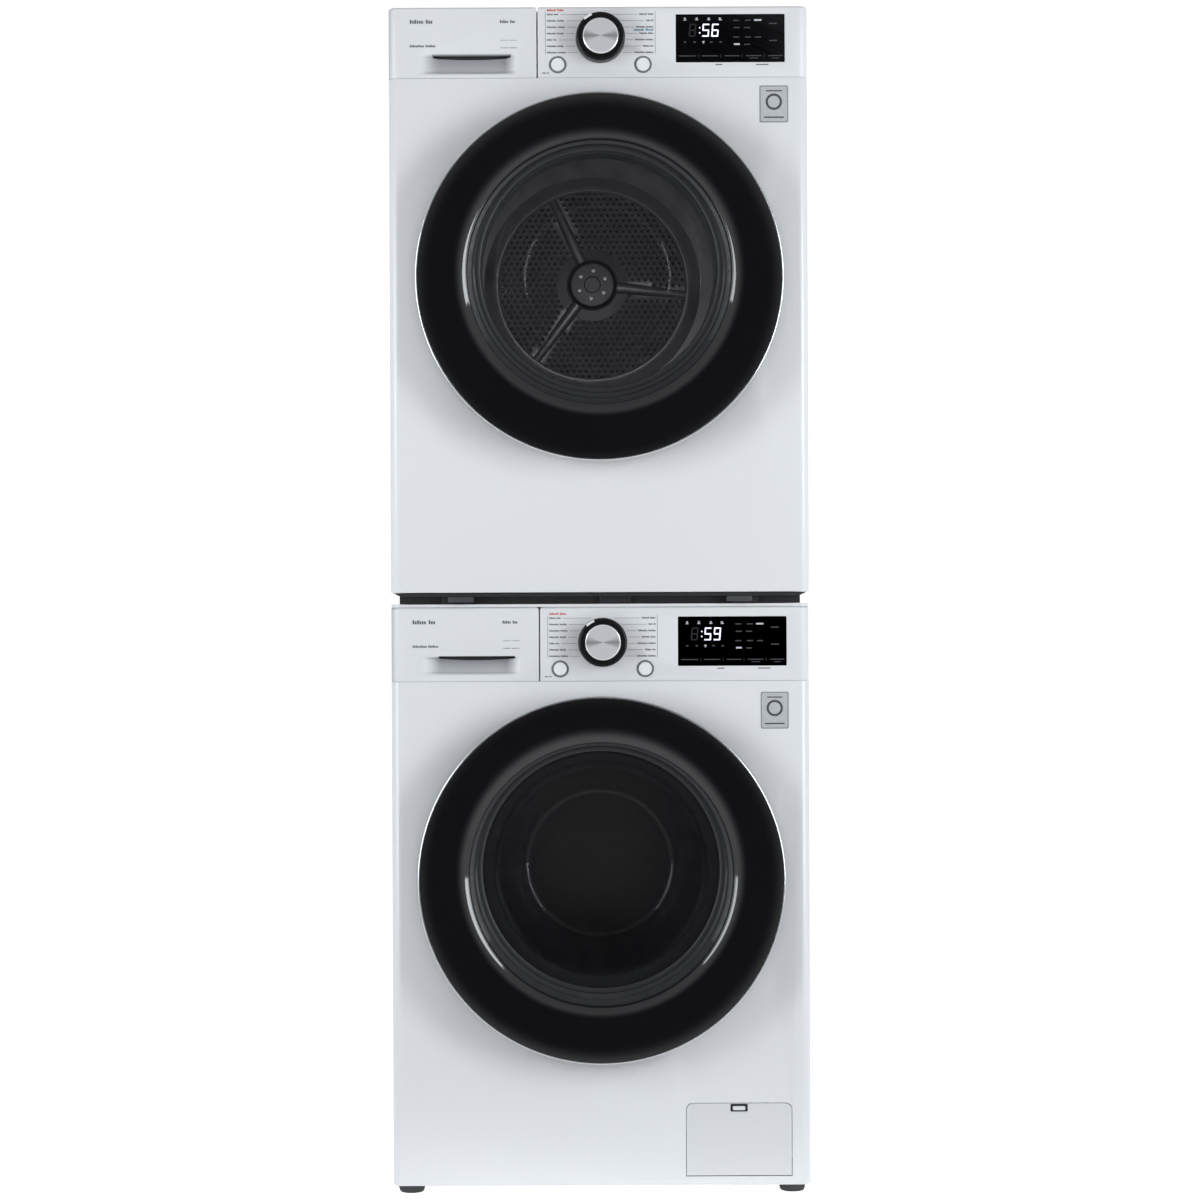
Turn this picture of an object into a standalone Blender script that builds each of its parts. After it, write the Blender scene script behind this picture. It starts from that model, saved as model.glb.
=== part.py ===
"""A stacked front-loading washer and heat-pump dryer.

Metres, +Z up, fronts facing -Y, +X to the right of someone facing the fronts. The origin is at
the middle of the footprint on the floor. Depths of front parts are counted from each machine's
front face towards +Y, so a negative depth stands proud of the panel.
"""
import math
from collections import namedtuple

import bmesh
import bpy
from mathutils import Matrix, Vector

# Driving dimensions
HALF_WIDTH = 0.300
SHEET = 0.002
GAP = 0.0004
PANEL_DEPTH = 0.030
EDGE_RADIUS = 0.014
SEAM_X = -0.0870

Machine = namedtuple(
    "Machine",
    "name front back base body_top panel_seam fascia_top door_z dish_z drum_z knob_z button_z "
    "display_low display_high slot_high scoop_low",
)
WASHER = Machine(
    "washer", -0.2875, 0.2775, 0.011, 0.8288, 0.7340, 0.8405, 0.452, 0.465, 0.465, 0.790, 0.752,
    0.756, 0.826, 0.771, 0.744,
)
DRYER = Machine(
    "dryer", -0.2975, 0.3375, 0.862, 1.6853, 1.5980, 1.700, 1.310, 1.323, 1.357, 1.654, 1.617,
    1.620, 1.688, 1.633, 1.604,
)
WASHER_TOP = 0.845

PORTHOLE_RADIUS = 0.172
RING_RADIUS = 0.2588
RING_BACK = -0.010
RING_FRONT = -0.045
RIM_FRONT = -0.0415
DISH_RADIUS = 0.217
WINDOW_RADIUS = 0.187
DISH_DEPTH = 0.0085
HINGE_X = -0.246
HINGE_DEPTH = -0.024
HINGE_HALF_HEIGHT = 0.030

KNOB_X = 0.0035
KNOB_RADIUS = 0.0353
CAP_RADIUS = 0.0255
BUTTON_OFFSET = 0.061
BUTTON_RADIUS = 0.0118
DISPLAY_LEFT = 0.112
DISPLAY_RIGHT = 0.267

WASHER_DRUM_RADIUS = 0.245
TUB_RADIUS = 0.268
TUB_WALL = 0.005
DRYER_DRUM_RADIUS = 0.262
LIFTER_START = 0.110
LIFTER_END = 0.480
DRYER_LIFTER_TIP = 0.1865
DRYER_LIFTERS = (("left", -80), ("right", 100))
FOOT_X = 0.274
FOOT_ENDS = {"front": WASHER.front + 0.0205, "rear": WASHER.back - 0.045}

COVER_LEFT = 0.121
COVER_RIGHT = 0.272
COVER_LOW = 0.0245
COVER_HIGH = 0.1277
COVER_AXIS_Z = 0.0265
PUMP_X = 0.196
PUMP_Z = 0.076

# colour, metallic, roughness
FINISHES = {
    "white_enamel": ((0.86, 0.87, 0.89), 0.0, 0.32),
    "white_plastic": ((0.82, 0.83, 0.85), 0.0, 0.38),
    "black_gloss": ((0.012, 0.012, 0.014), 0.0, 0.08),
    "display_glass": ((0.004, 0.004, 0.005), 0.0, 0.05),
    "silver_trim": ((0.72, 0.73, 0.75), 1.0, 0.18),
    "tinted_glass": ((0.05, 0.05, 0.06), 0.0, 0.04),
    "knob": ((0.62, 0.63, 0.65), 1.0, 0.30),
    "stainless": ((0.55, 0.55, 0.56), 1.0, 0.30),
    "dark_drum": ((0.16, 0.16, 0.18), 0.9, 0.34),
    "dark_plastic": ((0.03, 0.03, 0.034), 0.0, 0.50),
    "grey_plastic": ((0.25, 0.26, 0.27), 0.0, 0.55),
    "rubber": ((0.08, 0.08, 0.085), 0.0, 0.75),
    "concrete": ((0.42, 0.41, 0.39), 0.0, 0.90),
    "zinc_steel": ((0.50, 0.51, 0.52), 1.0, 0.42),
    "copper": ((0.72, 0.42, 0.28), 1.0, 0.35),
    "aluminium": ((0.66, 0.67, 0.68), 1.0, 0.38),
    "clear_tank": ((0.55, 0.60, 0.66), 0.0, 0.25),
}

for leftover in list(bpy.data.objects):
    bpy.data.objects.remove(leftover, do_unlink=True)

PARTS = bpy.data.collections.new("washer_dryer_stack")
CUTTERS = bpy.data.collections.new("cutters")
bpy.context.scene.collection.children.link(PARTS)
bpy.context.scene.collection.children.link(CUTTERS)


def material(name):
    """One Principled material for each finish."""
    found = bpy.data.materials.get(name)
    if found:
        return found
    colour, metallic, roughness = FINISHES[name]
    made = bpy.data.materials.new(name)
    made.use_nodes = True
    shader = made.node_tree.nodes["Principled BSDF"]
    shader.inputs["Base Color"].default_value = (*colour, 1.0)
    shader.inputs["Metallic"].default_value = metallic
    shader.inputs["Roughness"].default_value = roughness
    return made


def add(name, mesh, finish, place=(0, 0, 0)):
    """An object of the stack, or a cutter or filler when it has no finish."""
    obj = bpy.data.objects.new(name, mesh)
    obj.location = place
    if finish is None:
        CUTTERS.objects.link(obj)
        obj.hide_render = True
        obj.display_type = "WIRE"
        return obj
    PARTS.objects.link(obj)
    mesh.materials.append(material(finish))
    return obj


def box(name, low, high, finish=None, bevel=0.0):
    """A block between two corners, with its own origin at its middle."""
    low = Vector(low)
    high = Vector(high)
    work = bmesh.new()
    bmesh.ops.create_cube(work, size=1.0, matrix=Matrix.Diagonal((*(high - low), 1.0)))
    mesh = bpy.data.meshes.new(name)
    work.to_mesh(mesh)
    work.free()
    obj = add(name, mesh, finish, (low + high) / 2)
    if bevel:
        edge = obj.modifiers.new("edges", "BEVEL")
        edge.width = bevel
        edge.segments = 2
    return obj


def turned(name, outline, centre, finish=None, steps=48, upright=False):
    """A turned solid. The outline's (radius, depth) corners run along +Y, or +Z when upright."""
    loop = outline + outline[:1]
    area = sum(a[0] * b[1] - b[0] * a[1] for a, b in zip(loop, loop[1:]))
    corners = outline[::-1] if area > 0 else outline
    if any(r == 0 for r, _ in corners):
        while not (corners[0][0] == 0 and corners[-1][0] == 0):
            corners = corners[1:] + corners[:1]
        edges = [(i, i + 1) for i in range(len(corners) - 1)]
    else:
        edges = [(i, (i + 1) % len(corners)) for i in range(len(corners))]
    mesh = bpy.data.meshes.new(name)
    mesh.from_pydata([(r, 0, d) for r, d in corners], edges, [])
    obj = add(name, mesh, finish, centre)
    if not upright:
        obj.rotation_euler = (math.radians(-90), 0, 0)
    screw = obj.modifiers.new("turn", "SCREW")
    screw.steps = steps
    screw.render_steps = steps
    screw.use_merge_vertices = True
    screw.merge_threshold = 0.00001
    return obj


def rod(name, radius, start, depth, centre, finish=None, steps=24, upright=False):
    """A round bar from start to depth along +Y, or +Z when upright."""
    outline = [(0, start), (radius, start), (radius, depth), (0, depth)]
    return turned(name, outline, centre, finish, steps, upright)


def combine(obj, other, operation):
    change = obj.modifiers.new(operation.lower() + "_" + other.name, "BOOLEAN")
    change.operation = operation
    change.solver = "EXACT"
    change.object = other


def cut(obj, *cutters):
    for cutter in cutters:
        combine(obj, cutter, "DIFFERENCE")


def join(obj, *fillers):
    for filler in fillers:
        combine(obj, filler, "UNION")


def tray(name, low, high, finish, rounded, top_radius=0.0):
    """A sheet tray open to the back, its upright front edges rounded on the sides named."""
    low = Vector(low)
    high = Vector(high)
    work = bmesh.new()
    size = Matrix.Diagonal((*(high - low), 1.0))
    bmesh.ops.create_cube(work, size=1.0, matrix=Matrix.Translation((low + high) / 2) @ size)
    sides = [{"left": low.x, "right": high.x}[side] for side in rounded]
    upright = [
        edge for edge in work.edges
        if all(abs(v.co.y - low.y) < 1e-6 for v in edge.verts)
        and any(all(abs(v.co.x - x) < 1e-6 for v in edge.verts) for x in sides)
    ]
    bmesh.ops.bevel(work, geom=upright, offset=EDGE_RADIUS, segments=5, profile=0.5,
                    affect="EDGES")
    if top_radius:
        rim = [
            edge for edge in work.edges
            if all(abs(v.co.z - high.z) < 1e-6 for v in edge.verts)
            and any(v.co.y < low.y + EDGE_RADIUS - 1e-6 for v in edge.verts)
        ]
        bmesh.ops.bevel(work, geom=rim, offset=top_radius, segments=3, profile=0.5,
                        affect="EDGES")
    open_side = [f for f in work.faces if all(abs(v.co.y - high.y) < 1e-6 for v in f.verts)]
    bmesh.ops.delete(work, geom=open_side, context="FACES")
    mesh = bpy.data.meshes.new(name)
    work.to_mesh(mesh)
    work.free()
    obj = add(name, mesh, finish)
    wall = obj.modifiers.new("sheet", "SOLIDIFY")
    wall.thickness = SHEET
    wall.offset = -1
    return obj


def axis_point(name, place):
    """An empty on a joint's axis."""
    empty = bpy.data.objects.new(name, None)
    empty.location = place
    PARTS.objects.link(empty)
    return empty


def hang(parent, *children):
    for child in children:
        child.location = child.location - parent.location
        child.parent = parent


def porthole_cutter(m):
    return rod(f"{m.name}_porthole_cutter", PORTHOLE_RADIUS, -0.02, 0.06,
               (0, m.front, m.dish_z), steps=48)


def cabinet(m, openings_on_back):
    """The bent wrap: both sides, the back and the base in one sheet."""
    front = m.front + PANEL_DEPTH + GAP
    wrap = box(f"{m.name}_cabinet", (-HALF_WIDTH, front, m.base),
               (HALF_WIDTH, m.back, m.body_top), "white_enamel")
    inside = box(f"{m.name}_inside_cutter", (-HALF_WIDTH + SHEET, front - 0.05, m.base + SHEET),
                 (HALF_WIDTH - SHEET, m.back - SHEET, m.body_top + 0.05))
    cut(wrap, inside)
    cut(wrap, *openings_on_back)
    return wrap


def hook_slot(m, depth):
    """The slot that the door's hook enters, as a cutter."""
    return box(f"{m.name}_hook_slot", (0.212, m.front - 0.02, m.door_z - 0.018),
               (0.233, m.front + depth, m.door_z + 0.018))


def front_panel(m):
    panel = tray(f"{m.name}_front_panel", (-HALF_WIDTH, m.front, m.base),
                 (HALF_WIDTH, m.front + PANEL_DEPTH, m.panel_seam), "white_enamel",
                 ("left", "right"))
    cut(panel, porthole_cutter(m), hook_slot(m, 0.02))
    return panel


def control_panel(m):
    """The fascia right of the drawer, with its holes for the knob, the buttons and the display."""
    panel = tray(f"{m.name}_control_panel", (SEAM_X + GAP, m.front, m.panel_seam + GAP),
                 (HALF_WIDTH, m.front + PANEL_DEPTH, m.fascia_top), "white_plastic",
                 ("right",), 0.004)
    knob_hole = rod(f"{m.name}_knob_cutter", 0.006, -0.02, 0.02, (KNOB_X, m.front, m.knob_z))
    cut(panel, knob_hole)
    for side in (-1, 1):
        hole = rod(f"{m.name}_button_cutter_{side}", BUTTON_RADIUS + 0.0005, -0.02, 0.02,
                   (KNOB_X + side * BUTTON_OFFSET, m.front, m.button_z), steps=20)
        cut(panel, hole)
    window = box(f"{m.name}_display_cutter", (DISPLAY_LEFT - GAP, m.front - 0.02,
                                              m.display_low - GAP),
                 (DISPLAY_RIGHT + GAP, m.front + 0.02, m.display_high + GAP))
    cut(panel, window)
    return panel


def display(m):
    """Display glass flush in its window, on the wider carrier behind the fascia."""
    glass = box(f"{m.name}_display", (DISPLAY_LEFT, m.front - 0.0002, m.display_low),
                (DISPLAY_RIGHT, m.front + 0.010, m.display_high), "display_glass")
    carrier = box(f"{m.name}_display_carrier", (DISPLAY_LEFT - 0.005, m.front + 0.0045,
                                                m.display_low - 0.004),
                  (DISPLAY_RIGHT + 0.005, m.front + 0.016, m.display_high + 0.004))
    join(glass, carrier)
    return glass


def knob(m):
    """Program knob on its shaft: a black outer ring with a shallow domed metal cap."""
    outline = [
        (0, -0.0250), (CAP_RADIUS - 0.004, -0.0250), (CAP_RADIUS, -0.0238),
        (CAP_RADIUS + 0.0012, -0.0215), (KNOB_RADIUS - 0.0045, -0.0225),
        (KNOB_RADIUS - 0.0012, -0.0190), (KNOB_RADIUS, -0.0006), (0.0045, -0.0006),
        (0.0045, 0.0160), (0, 0.0160),
    ]
    return turned(f"{m.name}_knob", outline, (KNOB_X, m.front, m.knob_z), "knob", 32)


def buttons(m):
    for side, word in ((-1, "left"), (1, "right")):
        outline = [
            (0, -0.0030), (BUTTON_RADIUS - 0.0012, -0.0030), (BUTTON_RADIUS, -0.0020),
            (BUTTON_RADIUS, 0.0042), (BUTTON_RADIUS + 0.0008, 0.0042),
            (BUTTON_RADIUS + 0.0008, 0.0062), (0, 0.0062),
        ]
        turned(f"{m.name}_button_{word}", outline,
               (KNOB_X + side * BUTTON_OFFSET, m.front, m.button_z), "white_plastic", 20)


def drawer_front(m, axis):
    """The drawer's fascia with its finger scoop, which rises into a slot."""
    low_z = m.panel_seam + GAP
    front = tray(f"{m.name}_drawer_front", (-HALF_WIDTH, m.front, low_z),
                 (SEAM_X - GAP, m.front + PANEL_DEPTH, m.fascia_top), "white_plastic",
                 ("left",), 0.004)
    backing = box(f"{m.name}_scoop_backing", (-0.262, m.front + 0.001, m.scoop_low - 0.004),
                  (-0.108, m.front + 0.027, m.slot_high + 0.006))
    join(front, backing)
    scoop = scoop_cutter(m)
    cut(front, scoop)
    hang(axis, front)
    return front


def scoop_cutter(m):
    """A wedge that starts on the face at the scoop's foot and is deepest under the slot's lip."""
    work = bmesh.new()
    bmesh.ops.create_cube(work, size=1.0)
    for corner in work.verts:
        right = corner.co.x > 0
        top = corner.co.z > 0
        deep = corner.co.y > 0
        corner.co.x = (-0.122 if right else -0.234) + (0 if top else (0.005 if right else -0.005))
        corner.co.z = m.slot_high if top else m.scoop_low
        corner.co.y = m.front + ((0.0200 if top else 0.0008) if deep else -0.01)
    mesh = bpy.data.meshes.new(f"{m.name}_scoop_cutter")
    work.to_mesh(mesh)
    work.free()
    return add(f"{m.name}_scoop_cutter", mesh, None)


def ring_outline():
    """The door ring in section: a flat face that drops a little towards the rim, flat back."""
    shoulder = 0.232
    points = [(0.165, RING_FRONT), (shoulder, RING_FRONT)]
    for i in range(1, 4):
        share = i / 3
        points.append((shoulder + (RING_RADIUS - shoulder) * share,
                       RING_FRONT + (RIM_FRONT - RING_FRONT) * share ** 2))
    points += [(RING_RADIUS, -0.0125), (RING_RADIUS - 0.0025, RING_BACK), (0.165, RING_BACK)]
    return points


def door(m, axis):
    """Ring, rim and bowl, on the upright hinge axis at the left."""
    centre = (0, m.front, m.door_z)
    dish_centre = (0, m.front, m.dish_z)
    ring = turned(f"{m.name}_door_ring", ring_outline(), centre, "black_gloss", 56)
    dish = turned(f"{m.name}_dish_cutter", [
        (0, -0.060), (DISH_RADIUS + 0.008, -0.060), (DISH_RADIUS + 0.008, RING_FRONT - 0.0010),
        (DISH_RADIUS - 0.012, RING_FRONT + DISH_DEPTH * 0.3),
        (WINDOW_RADIUS, RING_FRONT + DISH_DEPTH), (WINDOW_RADIUS, 0.010), (0, 0.010),
    ], dish_centre, steps=48)
    pocket = box(f"{m.name}_hinge_pocket", (-0.275, m.front + HINGE_DEPTH - 0.0015,
                                            m.door_z - HINGE_HALF_HEIGHT - 0.0015),
                 (-0.200, m.front, m.door_z + HINGE_HALF_HEIGHT + 0.0015))
    barrel_room = rod(f"{m.name}_barrel_room", 0.0062, -HINGE_HALF_HEIGHT - 0.0015,
                      HINGE_HALF_HEIGHT + 0.0015,
                      (HINGE_X, m.front + HINGE_DEPTH, m.door_z), upright=True)
    cut(ring, dish, pocket, barrel_room)
    hook = box(f"{m.name}_door_hook", (0.219, m.front + RING_BACK - 0.004, m.door_z - 0.012),
               (0.226, m.front + 0.016, m.door_z + 0.012))
    join(ring, hook)
    rim = turned(f"{m.name}_door_trim", [
        (RING_RADIUS + 0.0004, -0.0235), (RING_RADIUS + 0.0004, RIM_FRONT),
        (0.2605, RIM_FRONT - 0.0006), (0.2618, RIM_FRONT + 0.0004), (0.2618, -0.0235),
    ], centre, "silver_trim", 56)
    bowl = turned(f"{m.name}_door_glass", bowl_outline(), dish_centre, "tinted_glass", 36)
    hang(axis, ring, rim, bowl)


def bowl_outline():
    """A flange held behind the ring, then a bowl that tapers into the drum's mouth."""
    wall = 0.004
    outer = [(0.200, -0.0097), (0.200, -0.0057), (0.152, -0.0057), (0.1495, 0.004)]
    floor = 0.110
    curve = 0.020
    for i in range(4):
        turn = math.pi / 2 * i / 3
        outer.append((0.118 - curve * (1 - math.cos(turn)), floor - curve * (1 - math.sin(turn))))
    outer.append((0, floor))
    inner = [(0, floor - wall)]
    for i in range(3, -1, -1):
        turn = math.pi / 2 * i / 3
        inner.append((0.118 - curve + (curve - wall) * math.cos(turn),
                      floor - curve + (curve - wall) * math.sin(turn)))
    inner += [(0.1455, 0.002), (0.149, -0.0097)]
    return outer + inner


def door_hinge(m):
    """Bracket on the panel: a plate, a goose-necked arm and the barrel on the axis."""
    x = HINGE_X
    y = m.front + HINGE_DEPTH
    barrel = rod(f"{m.name}_door_hinge", 0.0050, -HINGE_HALF_HEIGHT, HINGE_HALF_HEIGHT,
                 (x, y, m.door_z), "zinc_steel", 20, True)
    plate = box(f"{m.name}_hinge_plate", (-0.235, m.front - 0.0035, m.door_z - 0.045),
                (-0.199, m.front - 0.0004, m.door_z + 0.045))
    reach = Vector((0.036, -0.0042 - HINGE_DEPTH, 0))
    arm = box(f"{m.name}_hinge_arm", (0, 0, 0),
              (reach.length, 0.005, 2 * HINGE_HALF_HEIGHT))
    arm.location = Vector((x, y, m.door_z)) + reach / 2
    arm.rotation_euler = (0, 0, math.atan2(reach.y, reach.x))
    join(barrel, arm, plate)


def washer_tub():
    """Outer tub with its mouth, bearing hole, spring lugs and damper lugs."""
    m = WASHER
    centre = (0, m.front, m.drum_z)
    tub = turned("washer_tub", [
        (0.176, 0.072), (TUB_RADIUS - 0.010, 0.072), (TUB_RADIUS, 0.082), (TUB_RADIUS, 0.470),
        (TUB_RADIUS - 0.006, 0.476), (0.0265, 0.476), (0.0265, 0.471),
        (TUB_RADIUS - TUB_WALL - 0.004, 0.471), (TUB_RADIUS - TUB_WALL, 0.466),
        (TUB_RADIUS - TUB_WALL, 0.084), (TUB_RADIUS - TUB_WALL - 0.007, 0.077),
        (0.176, 0.077),
    ], centre, "grey_plastic", 36)
    for side, word in ((-1, "left"), (1, "right")):
        spring_lug = box(f"tub_spring_lug_{word}", *ordered(
            (side * 0.200, 0.128, 0.614), (side * 0.275, 0.152, 0.628)))
        damper_lug = box(f"tub_damper_lug_{word}", *ordered(
            (side * 0.145, -0.020, 0.2355), (side * 0.175, 0.010, 0.2600)))
        join(tub, spring_lug, damper_lug)
    inside = rod("tub_inside_cutter", TUB_RADIUS - TUB_WALL - 0.0002, 0.100, 0.460, centre,
                 steps=36)
    cut(tub, inside)
    return tub


def ordered(a, b):
    """Lowest and highest corners of two opposite corners."""
    return tuple(map(min, a, b)), tuple(map(max, a, b))


def washer_inside():
    m = WASHER
    centre = (0, m.front, m.drum_z)
    washer_tub()
    turned("washer_gasket", [
        (0.1712, 0.0015), (0.1712, 0.012), (0.1820, 0.026), (0.1750, 0.048), (0.1830, 0.060),
        (0.1830, 0.0715), (0.1780, 0.0715), (0.1780, 0.063), (0.1700, 0.049), (0.1770, 0.028),
        (0.1535, 0.010), (0.1535, 0.005),
    ], centre, "rubber", 32)
    turned("washer_drum", [
        (0.1760, 0.0850), (0.2300, 0.0850), (WASHER_DRUM_RADIUS, 0.0950),
        (WASHER_DRUM_RADIUS, 0.4400), (0.2350, 0.4480), (0.0600, 0.4480), (0.0450, 0.4580),
        (0.0250, 0.4580), (0.0250, 0.5000), (0.0120, 0.5000), (0.0120, 0.5230), (0, 0.5230),
        (0, 0.4460), (0.2340, 0.4460), (WASHER_DRUM_RADIUS - SHEET, 0.4390),
        (WASHER_DRUM_RADIUS - SHEET, 0.0960), (0.2292, 0.0870), (0.1760, 0.0870),
    ], centre, "stainless", 40)
    for i in range(3):
        lifter(f"washer_lifter_{i + 1}", m, 90 + 120 * i, 0.2405, 0.188, 0.125, 0.420,
               "white_plastic")
    turned("washer_motor_rotor", [
        (0.0125, 0.5150), (0.0125, 0.5190), (0.1300, 0.5190), (0.1400, 0.5130),
        (0.1400, 0.4840), (0.1340, 0.4840), (0.1340, 0.5120), (0.1280, 0.5150),
    ], centre, "zinc_steel", 24)
    turned("washer_motor_stator", [
        (0.0600, 0.4765), (0.1250, 0.4765), (0.1250, 0.5050), (0.0600, 0.5050),
    ], centre, "copper", 24)
    weight = box("washer_counterweight", (-0.085, 0.010, 0.690), (0.190, 0.120, 0.795),
                 "concrete", 0.006)
    saddle = rod("counterweight_cutter", TUB_RADIUS + 0.0008, 0.05, 0.50, centre, steps=36)
    cut(weight, saddle)
    for side, word in ((-1, "left"), (1, "right")):
        spring(f"washer_spring_{word}", side * 0.262, 0.140, 0.6285, 0.8030)
        turned(f"washer_damper_{word}", [
            (0, 0.0405), (0.0140, 0.0405), (0.0140, 0.1600), (0.0060, 0.1600),
            (0.0060, 0.2350), (0, 0.2350),
        ], (side * 0.160, -0.005, 0), "dark_plastic", 12, True)


def lifter(name, m, degrees, outer, inner, start, end, finish):
    """A tapered paddle along the drum's wall, at an angle round the drum's axis."""
    work = bmesh.new()
    bmesh.ops.create_cube(work, size=1.0)
    for corner in work.verts:
        tip = corner.co.z < 0
        half = 0.012 if tip else 0.030
        along = 0.030 if tip else 0.0
        corner.co.x = math.copysign(half, corner.co.x)
        corner.co.y = start + along if corner.co.y < 0 else end - along
        corner.co.z = inner if tip else math.sqrt(outer * outer - half * half)
    mesh = bpy.data.meshes.new(name)
    work.to_mesh(mesh)
    work.free()
    obj = add(name, mesh, finish, (0, m.front, m.drum_z))
    obj.rotation_euler = (0, math.radians(degrees), 0)
    edge = obj.modifiers.new("edges", "BEVEL")
    edge.width = 0.006
    edge.segments = 2
    return obj


def spring(name, x, y, low, high):
    """A tension spring: round coils between two straight ends."""
    radius = 0.010
    turns = 7
    wire = 0.0016
    points = [(0, 0, low + wire)]
    for i in range(turns * 6 + 1):
        angle = i * math.tau / 6
        rise = low + 0.02 + (high - low - 0.04) * i / (turns * 6)
        points.append((radius * math.cos(angle), radius * math.sin(angle), rise))
    points.append((0, 0, high - wire))
    curve = bpy.data.curves.new(name, "CURVE")
    curve.dimensions = "3D"
    curve.bevel_depth = wire
    curve.bevel_resolution = 0
    curve.use_fill_caps = True
    line = curve.splines.new("POLY")
    line.points.add(len(points) - 1)
    for point, place in zip(line.points, points):
        point.co = (*place, 1.0)
    obj = bpy.data.objects.new(name, curve)
    obj.location = (x, y, 0)
    curve.materials.append(material("zinc_steel"))
    PARTS.objects.link(obj)


def washer_front_extras(panel):
    """Filter opening, its cover, the drain pump behind it, and the door lock."""
    m = WASHER
    opening = box("filter_opening_cutter", (COVER_LEFT - 0.0010, m.front - 0.02,
                                            COVER_LOW - 0.0012),
                  (COVER_RIGHT + 0.0010, m.front + 0.02, COVER_HIGH + 0.0010))
    cut(panel, opening, *foot_holes("front"))
    lock = box("washer_door_lock", (0.204, m.front + 0.0024, m.door_z - 0.045),
               (0.242, m.front + 0.026, m.door_z + 0.045), "dark_plastic", 0.002)
    cut(lock, hook_slot(m, 0.021))
    cover_axis = axis_point("filter_cover_axis", (0, m.front + 0.002, COVER_AXIS_Z))
    cover = box("washer_filter_cover", (COVER_LEFT, m.front - 0.0002, COVER_LOW),
                (COVER_RIGHT, m.front + 0.0026, COVER_HIGH), "white_plastic")
    notch = box("cover_notch_cutter", (0.184, m.front - 0.01, 0.115),
                (0.209, m.front + 0.0012, 0.1265))
    cut(cover, notch)
    hang(cover_axis, cover)
    pump = turned("washer_drain_pump", [
        (0.0325, 0.022), (0.0400, 0.022), (0.0400, 0.150), (0, 0.150), (0, 0.110),
        (0.0325, 0.110),
    ], (PUMP_X, m.front, PUMP_Z), "grey_plastic", 20)
    stand = box("pump_stand", (PUMP_X - 0.03, m.front + 0.060, m.base + SHEET + GAP),
                (PUMP_X + 0.03, m.front + 0.120, PUMP_Z - 0.036))
    join(pump, stand)
    plug = turned("washer_pump_filter", [
        (0, 0.014), (0.0310, 0.014), (0.0310, 0.030), (0.0240, 0.034), (0.0240, 0.095),
        (0, 0.095),
    ], (PUMP_X, m.front, PUMP_Z), "white_plastic", 20)
    grip = box("filter_grip", (PUMP_X - 0.024, m.front + 0.0055, PUMP_Z - 0.004),
               (PUMP_X + 0.024, m.front + 0.020, PUMP_Z + 0.004))
    join(plug, grip)


def washer_drawer():
    """Detergent drawer in its housing: a tray of three open compartments behind its fascia."""
    m = WASHER
    axis = axis_point("washer_drawer_axis", (-0.19, m.front, 0.785))
    drawer_front(m, axis)
    low = (-0.2830, m.front + PANEL_DEPTH + GAP, 0.7500)
    high = (-0.1030, m.front + 0.330, 0.8180)
    drawer = box("washer_drawer_tray", low, high, "white_plastic")
    for i, (left, right) in enumerate(((-0.279, -0.225), (-0.221, -0.165), (-0.161, -0.107))):
        bay = box(f"drawer_bay_{i}", (left, low[1] + 0.004, low[2] + 0.004),
                  (right, high[1] - 0.004, high[2] + 0.02))
        cut(drawer, bay)
    hang(axis, drawer)
    housing = box("washer_dispenser", (-0.2900, m.front + PANEL_DEPTH + 0.003, 0.7460),
                  (-0.0960, m.front + 0.345, 0.8260), "white_plastic")
    room = box("dispenser_cutter", (-0.2860, m.front, 0.7490),
               (-0.1000, m.front + 0.341, 0.8230))
    cut(housing, room)


def dryer_drawer():
    """Condensate tank behind its fascia, with a filling hole at the top of its far end."""
    m = DRYER
    axis = axis_point("dryer_drawer_axis", (-0.19, m.front, 1.65))
    drawer_front(m, axis)
    low = Vector((-0.2900, m.front + PANEL_DEPTH + GAP, 1.6140))
    high = Vector((-0.1000, m.front + 0.480, 1.6780))
    wall = Vector((0.003, 0.003, 0.003))
    tank = box("dryer_water_tank", low, high, "clear_tank", 0.004)
    inside = box("tank_cutter", low + wall, high - wall)
    hole = rod("tank_hole_cutter", 0.018, 1.650, 1.700, (-0.195, high.y - 0.060, 0),
               upright=True)
    cut(tank, inside, hole)
    hang(axis, tank)


def feet():
    """Four levelling feet on threaded stems, through the washer's base."""
    m = WASHER
    for side, word in ((-1, "left"), (1, "right")):
        for end, y in FOOT_ENDS.items():
            turned(f"washer_foot_{end}_{word}", [
                (0, 0), (0.0160, 0), (0.0175, 0.0015), (0.0195, 0.0090), (0.0195, m.base - 0.0003),
                (0.0060, m.base - 0.0003), (0.0060, 0.0450), (0, 0.0450),
            ], (side * FOOT_X, y, 0), "rubber", 14, True)


def foot_holes(end):
    """Clearance holes for the stems at one end of the washer, as cutters."""
    return [
        rod(f"foot_hole_{side}_{end}", 0.0068, 0, 0.03, (side * FOOT_X, FOOT_ENDS[end], 0),
            upright=True, steps=12)
        for side in (-1, 1)
    ]


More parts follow.
